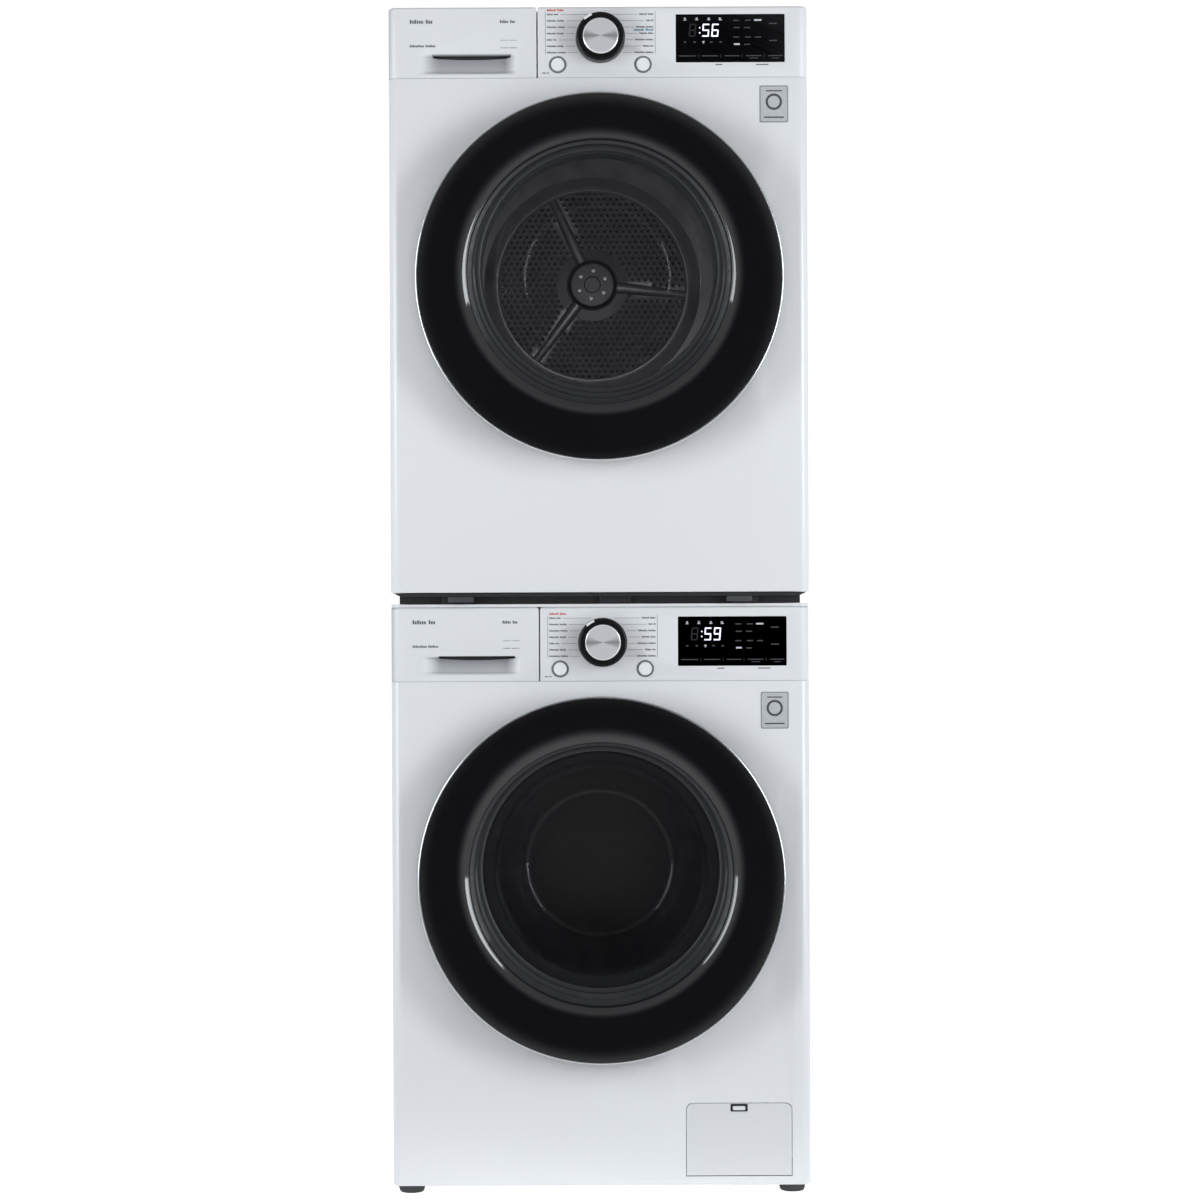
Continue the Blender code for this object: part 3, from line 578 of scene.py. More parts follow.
def control_panel(m):
    low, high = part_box(f"{m.name}_control_panel")
    low.x += SEAM
    knob_x, knob_z = middle(f"{m.name}_knob")
    holes = [drill(0.006, knob_x, knob_z, m.front)]
    for word in ("left", "right"):
        x, z = middle(f"{m.name}_button_{word}")
        button_low, button_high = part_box(f"{m.name}_button_{word}")
        holes.append(drill((button_high.x - button_low.x) / 2 - 0.0003, x, z, m.front))
    screen_low, screen_high = display_box(m)
    outline = rounded_outline(screen_low.x - 0.0005, screen_low.z - 0.0005,
                              screen_high.x + 0.0005, screen_high.z + 0.0005, 0.0015, 3)
    holes.append(slab("window", outline, m.front - 0.02, m.front + 0.02))
    mesh = carve(tray(low, high, ("right",), 0.004), holes, edge=0.0004)
    piece(f"{m.name}_fascia", mesh, "root", PLASTIC,
          (f"{m.name}_control_panel",))


def middle(node):
    low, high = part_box(node)
    return (low.x + high.x) / 2, (low.z + high.z) / 2


def display_box(m):
    """The glass in front of the display's wider carrier."""
    low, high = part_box(f"{m.name}_display")
    return low + Vector((0.005, 0, 0.004)), high - Vector((0.005, 0, 0.004))


def ring_circles(m):
    """The door ring as circles of (radius, depth, rise): back, dome, and down into the dish."""
    radius = m.ring_radius
    face = m.ring_front
    rim = m.rim_front + 0.0006
    circles = [(WINDOW, -0.0100, WINDOW_RISE), (radius - 0.0025, -0.0100, 0),
               (radius, -0.0125, 0), (radius, rim, 0)]
    shoulder = 0.2325
    for i in range(1, 9):
        turn = 1 - i / 8
        circles.append((shoulder + (radius - shoulder) * turn, face + (rim - face) * turn ** 2, 0))
    for i in range(0, 19):
        turn = i / 18
        circles.append((DISH + (WINDOW + 0.0012 - DISH) * turn, face + DISH_DEPTH * turn ** 2.3,
                        DISH_RISE + (WINDOW_RISE - DISH_RISE) * turn))
    for i in range(1, 5):
        turn = math.pi / 2 * i / 4
        circles.append((WINDOW + 0.0012 * (1 - math.sin(turn)),
                        face + DISH_DEPTH + 0.0018 * (1 - math.cos(turn)), WINDOW_RISE))
    return circles


def loft(name, circles, centre, steps=RING_STEPS):
    """A closed body through circles of (radius, depth, rise), each about its own middle."""
    work = bmesh.new()
    add_loft(work, circles, steps)
    return finished(name, work, centre)


def add_loft(work, circles, steps, x=0.0):
    rows = []
    for radius, depth, rise in circles:
        rows.append([
            work.verts.new((x + radius * math.cos(math.tau * i / steps), depth,
                            rise + radius * math.sin(math.tau * i / steps)))
            for i in range(steps)
        ])
    bridge(work, list(zip(rows, rows[1:])) + [(rows[-1], rows[0])], steps)


def door_ring(m):
    ring = loft("ring", ring_circles(m), (0, m.front, m.door_z))
    hinge_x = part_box(f"{m.name}_door_hinge")[0].x + 0.005
    tall = 0.0315
    pocket = block("pocket", (hinge_x - 0.03, m.front - 0.0255, m.door_z - tall),
                   (hinge_x + 0.046, m.front, m.door_z + tall), 0)
    room = lathe("room", [(0, -tall), (0.0062, -tall), (0.0062, tall), (0, tall)],
                 (hinge_x, m.front - 0.024, m.door_z), 32, True)
    hook = block("hook", (0.219, m.front - 0.014, m.door_z - 0.012),
                 (0.226, m.front + 0.016, m.door_z + 0.012), 0.001, 2)
    mesh = carve(ring, [pocket, room], [hook], edge=0)
    piece(f"{m.name}_ring", mesh, m.door_body, BLACK,
          (f"{m.name}_door_ring",), 40)


def door_rim(m):
    """The bright rim round the ring: a band with a chamfered front edge."""
    low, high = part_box(f"{m.name}_door_trim")
    outer = (high.x - low.x) / 2
    inner = m.ring_radius + 0.0003
    front = low.y - m.front
    back = high.y - m.front
    outline = [(inner, back), (inner, front + 0.0004), (inner + 0.0003, front)]
    outline += arc(outer - 0.0022, front + 0.0022, 0.0022, 285, 360, 6)
    outline += [(outer, back)]
    mesh = lathe(f"{m.name}_rim", outline, (0, m.front, m.door_z), RING_STEPS)
    piece(f"{m.name}_rim", mesh, m.door_body, SILVER, (f"{m.name}_door_trim",))


def door_bowl(m):
    """The glass: a flange behind the ring, stepped, then a bowl that tapers into the drum."""
    wall = 0.0035
    outer = [(0.1995, -0.0093), (0.1995, -0.0060), (0.1520, -0.0060)]
    outer += arc(0.1520, -0.0030, 0.0030, 270, 195, 4)
    outer += arc(0.0980, 0.0900, 0.0200, 8, 90, 10)
    outer.append((0, 0.1100))
    inner = [(0, 0.1100 - wall)]
    inner += arc(0.0980, 0.0900, 0.0200 - wall, 90, 8, 10)
    inner += [(0.1448, 0.0010)]
    inner += arc(0.1490, -0.0055, 0.0040, 200, 270, 5)
    inner += [(0.1640, -0.0095), (0.1655, -0.0105), (0.1690, -0.0105), (0.1705, -0.0095)]
    mesh = lathe(f"{m.name}_bowl", outer + inner, (0, m.front, m.dish_z), 128)
    piece(f"{m.name}_bowl", mesh, m.door_body, GLASS,
          (f"{m.name}_door_glass",))


def door_bezel(m):
    """The dark ring that holds the glass, seen inside the window."""
    glass_rise = m.dish_z - m.door_z
    inner = 0.1697
    circles = [(WINDOW - 0.0004, -0.0104, WINDOW_RISE), (inner, -0.0104, glass_rise),
               (inner, -0.0118, glass_rise), (inner + 0.0015, -0.0128, glass_rise),
               (inner + 0.0060, -0.0132, glass_rise), (inner + 0.0075, -0.0160, glass_rise),
               (0.1800, -0.0175, WINDOW_RISE + 0.003), (0.1815, -0.0205, WINDOW_RISE + 0.002),
               (WINDOW - 0.0012, -0.0225, WINDOW_RISE), (WINDOW - 0.0004, -0.0235, WINDOW_RISE)]
    mesh = loft(f"{m.name}_bezel", circles, (0, m.front, m.door_z))
    piece(f"{m.name}_bezel", mesh, m.door_body, BEZEL)


def door(m):
    door_ring(m)
    door_rim(m)
    door_bezel(m)
    door_bowl(m)
    dress(f"{m.name}_door_hinge", ZINC, 0.0004)


def scoop_cutter(m):
    """The finger scoop: a soft pocket whose back runs up into a slot under a straight lip."""
    columns = 60
    rows = 26
    left, right = -0.2600, -0.1140
    slot_left, slot_right = m.slot
    if m is WASHER:
        floor, slot, top = 0.7435, 0.7672, 0.7705
    else:
        floor, slot, top = 1.6035, 1.6292, 1.6325
    work = bmesh.new()
    grid = []
    for j in range(rows + 1):
        line = []
        for i in range(columns + 1):
            x = left + (right - left) * i / columns
            edge = min(smooth((x - left) / 0.034), smooth((right - x) / 0.020))
            across = min(1.0, max(0.0, (x - slot_left) / (slot_right - slot_left)))
            bow = 0.0024 * (1 - (2 * across - 1) ** 2)
            inside = slot_left < x < slot_right
            if j < rows - 4:
                up = j / (rows - 5)
                z = floor + (slot - bow - floor) * up
                depth = 0.0001 + 0.0150 * edge * smooth(up / 0.22) * (0.60 + 0.40 * up)
            else:
                z = slot - bow + 0.0003 + (top - slot + bow) * (j - rows + 4) / 4
                fade = 1.0 if inside else max(0.0, 1 - (j - rows + 5) / 4)
                depth = 0.0230 if inside else 0.0001 + 0.0150 * edge * fade
            line.append(work.verts.new((x, m.front + depth, z)))
        grid.append(line)
    near = [[work.verts.new((v.co.x, m.front - 0.01, v.co.z)) for v in line] for line in grid]
    for j in range(rows):
        for i in range(columns):
            work.faces.new((grid[j][i], grid[j][i + 1], grid[j + 1][i + 1], grid[j + 1][i]))
            work.faces.new((near[j][i], near[j + 1][i], near[j + 1][i + 1], near[j][i + 1]))
    for j in range(rows):
        work.faces.new((grid[j][0], grid[j + 1][0], near[j + 1][0], near[j][0]))
        work.faces.new((grid[j][-1], near[j][-1], near[j + 1][-1], grid[j + 1][-1]))
    for i in range(columns):
        work.faces.new((grid[0][i], near[0][i], near[0][i + 1], grid[0][i + 1]))
        work.faces.new((grid[-1][i], grid[-1][i + 1], near[-1][i + 1], near[-1][i]))
    return finished("scoop", work), (floor, top)


def smooth(share):
    """Eases from 0 to 1."""
    share = min(1.0, max(0.0, share))
    return share * share * (3 - 2 * share)


def drawer_front(m):
    low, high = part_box(f"{m.name}_drawer_front")
    high.x -= SEAM
    scoop, (floor, top) = scoop_cutter(m)
    backing = block("backing", (-0.2655, m.front + 0.001, floor - 0.003),
                    (-0.108, m.front + 0.0270, top + 0.006), 0)
    mesh = carve(tray(low, high, ("left",), 0.004), [scoop], [backing], edge=0.0004)
    # A dark strip set just inside the slot: painted shade for the dark space behind the opening.
    slot = block("slot", (m.slot[0] + 0.0002, m.front + 0.0175, top - 0.0060),
                 (m.slot[1] - 0.0002, m.front + 0.0228, top - 0.0002), 0.0004, 2)
    piece(f"{m.name}_drawer_slot", slot, m.drawer_body, DARK)
    piece(f"{m.name}_drawer_face", mesh, m.drawer_body, scoop_painted_shade_plastic(m),
          (f"{m.name}_drawer_front",), 30)


def knob(m):
    """Black ring, a brushed cap set in it, and a white pointer at the upper left."""
    low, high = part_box(f"{m.name}_knob")
    x, z = middle(f"{m.name}_knob")
    centre = Vector((x, m.front, z))
    radius = (high.x - low.x) / 2
    top = low.y - m.front
    cap = 0.0255
    body = f"{m.name}_knob"
    outline = [(0, top + 0.0045), (cap + 0.0004, top + 0.0045), (cap + 0.0004, top + 0.0022)]
    outline += arc(cap + 0.0018, top + 0.0030, 0.0013, 200, 280, 5)
    outline += arc(radius - 0.0042, top + 0.0062, 0.0038, 270, 350, 8)
    outline += [(radius, -0.0012), (radius - 0.0008, -0.0006), (0.0045, -0.0006),
                (0.0045, 0.0158), (0, 0.0158)]
    mesh = lathe(f"{m.name}_knob_ring", outline, centre, 128)
    piece(f"{m.name}_knob_ring", mesh, body, KNOB_BLACK, (f"{m.name}_knob",))
    outline = [(0, top + 0.0002), (cap - 0.0017, top), (cap - 0.0003, top + 0.0009),
               (cap, top + 0.0014), (cap, top + 0.0042), (0, top + 0.0042)]
    mesh = lathe(f"{m.name}_knob_cap", outline, centre, 128)
    piece(f"{m.name}_knob_cap", mesh, body, brushed_cap_painted_reflection(centre), (), 25)
    steps = 10
    outline = []
    for reach, turns in ((radius - 0.0036, range(steps + 1)),
                         (radius - 0.0004, range(steps, -1, -1))):
        for i in turns:
            angle = math.radians(112 + 22 * i / steps)
            outline.append((x + reach * math.cos(angle), z + reach * math.sin(angle)))
    mesh = slab("mark", outline, m.front + top + 0.0022, m.front + top + 0.0120, 0.0003, 2)
    piece(f"{m.name}_knob_mark", mesh, body, PLASTIC)


def buttons(m):
    """White caps in thin dark rings that move with them."""
    for word in ("left", "right"):
        node = f"{m.name}_button_{word}"
        low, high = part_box(node)
        x, z = middle(node)
        centre = (x, m.front, z)
        radius = (high.x - low.x) / 2 - 0.0008
        cap = radius - 0.0023
        outline = [(0, -0.0026), (cap - 0.0030, -0.0027)]
        outline += arc(cap - 0.0014, -0.0014, 0.0014, 265, 360, 6)
        outline += [(cap, 0.0042), (0, 0.0042)]
        mesh = lathe(f"{node}_cap", outline, centre, 72)
        piece(f"{node}_cap", mesh, node, CAP_WHITE, (node,))
        inner = cap + 0.0001
        outline = [(inner, 0.0040), (inner, -0.0006), (inner + 0.0004, -0.0010),
                   (radius - 0.0003, -0.0010), (radius, -0.0006), (radius, 0.0040)]
        mesh = lathe(f"{node}_ring", outline, centre, 72)
        piece(f"{node}_ring", mesh, node, GREY)


# ---------------------------------------------------------------- display and print

SEGMENTS = {
    "5": "afgcd", "6": "afgedc", "9": "abfgcd", "1": "bc",
}


def segment_bars(work, x, z, width, height, thick, lit, depth, shear=0.08):
    """Bars of a seven-segment digit whose lower left corner is at x, z."""
    half = height / 2
    gap = thick * 0.30
    spots = {
        "a": (gap, height - thick, width - gap, height), "g": (gap, half - thick / 2, width - gap,
                                                              half + thick / 2),
        "d": (gap, 0, width - gap, thick), "b": (width - thick, half + gap, width, height - gap),
        "c": (width - thick, gap, width, half - gap), "f": (0, half + gap, thick, height - gap),
        "e": (0, gap, thick, half - gap),
    }
    for name in lit:
        left, low, right, high = spots[name]
        outline = [(x + px + shear * pz, z + pz)
                   for px, pz in ((left, low), (right, low), (right, high), (left, high))]
        add_slab(work, outline, depth, depth + 0.0003)


def bars(work, rows, depth, thickness=0.00012):
    """Small printed bars from (left, low, right, high)."""
    for left, low, right, high in rows:
        add_slab(work, [(left, low), (right, low), (right, high), (left, high)],
                 depth - thickness, depth)


def display(m):
    low, high = display_box(m)
    outline = rounded_outline(low.x, low.z, high.x, high.z, 0.0012, 3)
    mesh = slab("screen", outline, m.front - 0.0002, m.front + 0.0080, 0.0003, 2)
    piece(f"{m.name}_screen", mesh, "root", SCREEN)
    dress(f"{m.name}_display", SCREEN, 0)
    glass = m.front - 0.00022
    width, height, stroke = 0.0100, 0.0184, 0.0019
    digits_x = low.x + 0.0368
    digits_z = low.z + 0.0362
    work = bmesh.new()
    second = "6" if m is DRYER else "9"
    segment_bars(work, digits_x, digits_z, width, height, stroke, SEGMENTS["5"], glass - 0.0003)
    segment_bars(work, digits_x + 0.0134, digits_z, width, height, stroke, SEGMENTS[second],
                 glass - 0.0003)
    for rise in (0.0046, 0.0118):
        bars(work, [(digits_x - 0.0038, digits_z + rise, digits_x - 0.0020,
                     digits_z + rise + 0.0018)], glass, 0.0003)
    piece(f"{m.name}_digits", work, "root", DIGITS)
    work = bmesh.new()
    segment_bars(work, digits_x - 0.0190, digits_z, width, height, stroke, "abcdefg",
                 glass - 0.0002)
    piece(f"{m.name}_dim_digit", work, "root", DIM_DIGITS)
    for name, marks, material in (("icons", BRIGHT_MARKS, ICON_INK),
                                  ("faint_print", faint_marks(), FAINT_INK)):
        work = bmesh.new()
        bars(work, [placed(low, mark) for mark in marks], glass, 0.00012)
        piece(f"{m.name}_{name}", work, "root", material)


BRIGHT_MARKS = (
    (10.8, 59.5, 14.8, 60.6), (11.6, 61.2, 14.0, 63.4), (27.4, 59.8, 31.8, 61.0),
    (28.4, 61.6, 30.8, 63.6), (44.8, 59.8, 49.0, 61.2), (45.6, 61.8, 48.2, 63.4),
    (61.2, 59.6, 65.6, 60.8), (61.2, 61.4, 64.2, 63.4), (37.4, 28.4, 40.8, 29.8),
    (38.2, 26.6, 40.0, 28.0), (111.8, 58.6, 122.3, 60.9), (82.9, 24.2, 91.1, 26.6),
)


def faint_marks():
    """The unlit print of the display, in millimetres from its lower left corner."""
    rows = ((59.6, (81.8, 98.6)), (49.1, (82.4, 97.2)), (35.6, (81.8, 98.6, 112.9)),
            (25.1, (97.2,)))
    marks = [(left, z - 0.9, left + 8.6, z + 0.7) for z, lefts in rows for left in lefts]
    marks += [(left, 27.4, left + 3.6, 29.4) for left in (11.0, 24.6, 48.6, 62.0)]
    marks += [(133.0, z - 0.9, 144.4, z + 0.8) for z in (54.8, 30.4)]
    for i, (left, right) in enumerate(((3.8, 28.5), (36.8, 60.4), (69.4, 90.4), (99.8, 122.3),
                                       (131.7, 152.3))):
        marks.append((left, 8.0, right, 9.4))
        if i > 2:
            marks.append((left + 5, 4.8, right - 5, 5.8))
        if i < 4:
            marks.append((right + 3.6, 6.2, right + 4.1, 11.0))
    return marks


def placed(corner, millimetres):
    """A bar given in millimetres from a corner, in metres."""
    left, low, right, high = (value / 1000 for value in millimetres)
    return corner.x + left, corner.z + low, corner.x + right, corner.z + high


LEFT_WORDS = (16, 25, 26, 24, 14, 24, 27)
RIGHT_WORDS = (20, 10, 25, 20, 26, 15, 27)
LABEL_PITCH = 0.0091


def words(x, z, length, height=0.0019):
    """Small blocks that stand for the words of a label, from its left end."""
    step = height * 0.78
    count = max(3, round(length / step))
    step = length / count
    gap = round(count * 0.55)
    low = z - height / 2
    return [(x + step * i, low, x + step * (i + 0.74),
             low + height * (1.35 if i == 0 or i == gap + 1 or i % 4 == 2 else 1.0))
            for i in range(count) if i != gap]


def program_labels(m):
    """Bars for the program names round the knob, their pointer lines, and side brackets."""
    x, z = middle(f"{m.name}_knob")
    low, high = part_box(f"{m.name}_knob")
    edge = (high.x - low.x) / 2 + 0.0022
    depth = m.front - PRINT
    dark = bmesh.new()
    pale = bmesh.new()
    end = 0.0762
    for side, lengths in ((-1, LEFT_WORDS), (1, RIGHT_WORDS)):
        for i, millimetres in enumerate(lengths):
            rise = 0.0347 - LABEL_PITCH * i
            length = millimetres / 1000
            start = x - end if side < 0 else x + end - length
            bars(dark, words(start, z + rise, length), depth)
            near = math.sqrt(max(edge ** 2 - rise ** 2, 0.016 ** 2))
            left, right = sorted((x + side * near, x + side * (end - length - 0.003)))
            bars(pale, [(left, z + rise - 0.0003, right, z + rise + 0.0003)], depth)
        bracket = x + side * (end + 0.0024)
        bars(pale, [(bracket - 0.0003, z - 0.022, bracket + 0.0003, z + 0.039)], depth)
    bars(dark, words(x - 0.0830, z - 0.0490, 0.0100, 0.0014), depth)
    screen = display_box(m)[0]
    bars(dark, [placed(screen, (56, -4.6, 66, -3.2)), placed(screen, (114, -4.6, 132, -3.2))],
         depth)
    piece(f"{m.name}_program_print", dark, "root", GREY_INK)
    piece(f"{m.name}_line_print", pale, "root", PALE_INK)
    work = bmesh.new()
    bars(work, words(x - end, z + 0.0407, 0.0240, 0.0024), depth)
    piece(f"{m.name}_red_print", work, "root", RED_INK)
    if m is DRYER:
        work = bmesh.new()
        bars(work, words(x + end - 0.0280, z + 0.0122, 0.0280, 0.0024), depth)
        piece("dryer_blue_print", work, "root", BLUE_INK)


def drawer_labels(m):
    """Plain bars on the drawer where such machines carry print."""
    depth = m.front - PRINT
    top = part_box(f"{m.name}_drawer_front")[1].z
    work = bmesh.new()
    rows = words(-0.2690, top - 0.0215, 0.0330, 0.0042)
    rows += words(-0.1400, top - 0.0215, 0.0220, 0.0032)
    rows += words(-0.2690, top - 0.0560, 0.0370, 0.0026)
    rows += [(-0.1395 + 0.0125 * i, top - 0.0590, -0.1285 + 0.0125 * i, top - 0.0582)
             for i in range(2)]
    rows += [(-0.1395 + 0.0125 * i, top - 0.0480, -0.1285 + 0.0125 * i, top - 0.0474)
             for i in range(2)]
    bars(work, rows, depth)
    piece(f"{m.name}_drawer_print", work, m.drawer_body,
          GREY_INK)


def badge(m):
    """A plain grey sticker with a ring and a bar, at the upper right of the front."""
    if m is WASHER:
        left, low, right, high = 0.230, 0.665, 0.270, 0.718
    else:
        left, low, right, high = 0.231, 1.533, 0.272, 1.586
    depth = m.front - 0.0003
    work = bmesh.new()
    add_slab(work, rounded_outline(left, low, right, high, 0.0025), depth, m.front - PRINT)
    piece(f"{m.name}_badge", work, "root", BADGE)
    work = bmesh.new()
    inset = 0.0018
    add_slab(work, rounded_outline(left + inset, low + inset, right - inset, high - inset,
                                   0.0018), depth - 0.0001, depth)
    piece(f"{m.name}_badge_face", work, "root", BADGE_FACE)
    work = bmesh.new()
    x = (left + right) / 2
    z = low + (high - low) * 0.56
    rows = [(left + 0.006, low + 0.0065, right - 0.006, low + 0.0085),
            (left + 0.009, high - 0.0085, right - 0.009, high - 0.0068)]
    bars(work, rows, depth - 0.0001, 0.0001)
    inner, outer = 0.0085, 0.0118
    near, far = depth - 0.0002, depth - 0.0001
    add_loft(work, ((inner, near, z), (outer, near, z), (outer, far, z), (inner, far, z)), 48, x)
    piece(f"{m.name}_badge_print", work, "root", BADGE_INK)


def filter_cover():
    """Access door at the lower right, with its latch tab in a dark notch."""
    low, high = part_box("washer_filter_cover")
    outline = arched_outline(low.x, low.z, high.x, high.z, 0.0095)
    plate = slab("cover", outline, low.y, high.y, 0.0006)
    x = (low.x + high.x) / 2
    notch = rounded_outline(x - 0.0125, high.z - 0.0122, x + 0.0125, high.z + 0.01, 0.0020, 4)
    cutter = slab("notch", notch, low.y - 0.01, high.y - 0.0006)
    mesh = carve(plate, [cutter], edge=0)
    piece("filter_cover_plate", mesh, "filter_cover", COVER_WHITE,
          ("washer_filter_cover",))
    dark = rounded_outline(x - 0.0122, high.z - 0.0119, x + 0.0122, high.z - 0.0010, 0.0018, 4)
    mesh = slab("recess", dark, high.y - 0.0008, high.y - 0.0004)
    piece("filter_cover_recess", mesh, "filter_cover", DARK)
    tab = rounded_outline(x - 0.0090, high.z - 0.0098, x + 0.0090, high.z - 0.0042, 0.0014, 4)
    mesh = slab("tab", tab, low.y + 0.0002, high.y - 0.0007, 0.0004)
    piece("filter_cover_tab", mesh, "filter_cover", PLASTIC)


# ---------------------------------------------------------------- drums

def washer_drum():
    m = WASHER
    dress("washer_drum", WASHER_STEEL, 0)
    for i in range(3):
        dress(f"washer_lifter_{i + 1}", LIFTER, 0.002)
    centre = (0, m.front, m.dish_z)
    outline = [
        (0.1712, 0.0016), (0.1712, 0.0110), (0.1760, 0.0190), (0.1815, 0.0260), (0.1790, 0.0370),
        (0.1750, 0.0480), (0.1785, 0.0545), (0.1828, 0.0600), (0.1828, 0.0713), (0.1782, 0.0713),
        (0.1782, 0.0630), (0.1735, 0.0560), (0.1702, 0.0490), (0.1735, 0.0380), (0.1765, 0.0280),
        (0.1650, 0.0165), (0.1545, 0.0112), (0.1533, 0.0085), (0.1545, 0.0055), (0.1620, 0.0030),
    ]
    mesh = lathe("gasket", outline, centre, 96)
    stretched("gasket", mesh, "washer_gasket", RUBBER)


def hex_plate(radius, hole, pitch, near, far, plain):
    """A round perforated plate of hexagon cells, each with a hole in a raised rim."""
    work = bmesh.new()
    corner = pitch / math.sqrt(3)
    lift = 0.0012
    points = {}

    def vertex(x, y, z):
        key = (round(x * 1e5), round(y * 1e5), round(z * 1e5))
        if key not in points:
            points[key] = work.verts.new((x, y, z))
        return points[key]

    def hexagon(x, z, reach, depth):
        return [vertex(x + reach * math.cos(math.radians(60 * k + 30)), depth,
                       z + reach * math.sin(math.radians(60 * k + 30))) for k in range(6)]

    rows = int(radius / (pitch * math.sqrt(3) / 2)) + 1
    for j in range(-rows, rows + 1):
        for i in range(-rows - 1, rows + 2):
            x = (i + (j % 2) / 2) * pitch
            z = j * pitch * math.sqrt(3) / 2
            if math.hypot(x, z) > radius - corner:
                continue
            if plain(x, z):
                work.faces.new(hexagon(x, z, corner, near))
                work.faces.new(hexagon(x, z, corner, far))
                continue
            levels = [hexagon(x, z, corner, near), hexagon(x, z, hole * 1.30, near - lift),
                      hexagon(x, z, hole, near - lift * 0.6), hexagon(x, z, hole, far),
                      hexagon(x, z, corner, far)]
            bridge(work, list(zip(levels, levels[1:])), 6)
    for edge in [edge for edge in work.edges if len(edge.link_faces) == 1]:
        if all(abs(v.co.y - near) < TINY for v in edge.verts):
            a, b = edge.verts
            work.faces.new((a, b, vertex(b.co.x, far, b.co.z), vertex(a.co.x, far, a.co.z)))
    return work


SPOKES = (115, -6, 233)


def dryer_drum():
    m = DRYER
    dress("dryer_drum", DRYER_STEEL, 0)
    for word in ("left", "right"):
        dress(f"dryer_lifter_{word}", DARK_LIFTER, 0.004)
    centre = Vector((0, 0, m.drum_z))
    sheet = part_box("dryer_drum_back")[0].y + 0.0060

    def plain(x, z):
        reach = math.hypot(x, z)
        if reach < HUB_REACH:
            return True
        for degrees in SPOKES:
            angle = math.radians(degrees)
            across = abs(-x * math.sin(angle) + z * math.cos(angle))
            if across < SPOKE_HALF_WIDTH and x * math.cos(angle) + z * math.sin(angle) > 0:
                return True
        return False

    work = hex_plate(PLATE_RADIUS, HOLE_RADIUS, HOLE_PITCH, sheet - 0.0012, sheet, plain)
    piece("dryer_back_plate", finished("plate", work, centre), "dryer_drum",
          BACK_STEEL)
    outline = [
        (0.1490, sheet - 0.0014), (0.1520, sheet - 0.0040), (0.1560, sheet - 0.0044),
        (0.1600, sheet - 0.0030), (0.1680, sheet + 0.0010), (0.1790, sheet + 0.0050),
        (0.1490, sheet + 0.0050),
    ]
    mesh = lathe("rim", outline, centre, 128)
    piece("dryer_back_rim", mesh, "dryer_drum", BACK_STEEL)
    # The drum's back wall behind the perforated plate gets dark plastic as painted shade, so the
    # holes read dark.
    dress("dryer_drum_back", DARK, 0.001)
    work = bmesh.new()
    for degrees in SPOKES:
        angle = math.radians(degrees)
        along = Vector((math.cos(angle), 0, math.sin(angle)))
        across = Vector((-along.z, 0, along.x))
        sections = []
        for reach, half, rise in ((0.040, 0.0100, 0.0085), (0.080, 0.0085, 0.0075),
                                  (0.125, 0.0070, 0.0060), (0.152, 0.0060, 0.0030)):
            section = []
            for k in range(7):
                turn = math.pi * k / 6
                section.append(work.verts.new(
                    along * reach + across * half * math.cos(turn)
                    + Vector((0, sheet - 0.0013 - rise * math.sin(turn), 0))))
            sections.append(section)
        for first, second in zip(sections, sections[1:]):
            for k in range(6):
                work.faces.new((first[k], first[k + 1], second[k + 1], second[k]))
            work.faces.new((first[6], first[0], second[0], second[6]))
        work.faces.new(sections[0][::-1])
        work.faces.new(sections[-1])
    piece("dryer_back_spokes", finished("spokes", work, centre), "dryer_drum",
          BACK_STEEL)
    hub = [(0, sheet - 0.0110), (0.0120, sheet - 0.0110), (0.0135, sheet - 0.0125),
           (0.0300, sheet - 0.0125)]
    hub += arc(0.0330, sheet - 0.0090, 0.0035, 270, 350, 5)
    hub += [(0.0400, sheet - 0.0040), (0.0575, sheet - 0.0027), (0.0575, sheet - 0.0004),
            (0, sheet - 0.0004)]
    mesh = lathe("hub", hub, centre, 96)
    piece("dryer_hub", mesh, "dryer_drum", HUB_STEEL)
    work = bmesh.new()
    for i in range(6):
        angle = math.radians(60 * i + 25)
        spot = Vector((0.0225 * math.cos(angle), sheet - 0.0125, 0.0225 * math.sin(angle)))
        turn = Matrix.Rotation(math.radians(90), 4, "X")
        bmesh.ops.create_cone(work, cap_ends=True, segments=6, radius1=0.0042, radius2=0.0038,
                              depth=0.0050, matrix=Matrix.Translation(spot) @ turn)
    soften(work, work.edges[:], 0.0005)
    piece("dryer_hub_bolts", finished("bolts", work, centre), "dryer_drum", ZINC)


# ---------------------------------------------------------------- the rest of the machine

KEPT = {
    "washer_cabinet": (ENAMEL, 0.0010), "dryer_cabinet": (ENAMEL, 0.0010),
    "dryer_top_panel": (ENAMEL, 0.0008),
    "washer_tub": (GREY, 0.0010), "washer_counterweight": (CONCRETE, 0.0015),
    "washer_motor_stator": (COPPER, 0.0010), "washer_motor_rotor": (ZINC, 0.0006),
    "washer_drain_pump": (GREY, 0.0010), "washer_pump_filter": (GREY, 0.0008),
    "washer_door_lock": (DARK, 0.0006), "washer_dispenser": (PLASTIC, 0.0006),
    "washer_drawer_tray": (PLASTIC, 0.0008), "dryer_bulkhead": (GREY, 0.0010),
    "dryer_heat_exchanger": (FINS, 0.0008), "dryer_compressor": (DARK, 0),
    "dryer_motor": (ZINC, 0.0015), "dryer_water_tank": (MILKY, 0.0015),
    "dryer_lint_filter": (GREY, 0.0006), "stacking_frame": (DARK, 0.0006),
}


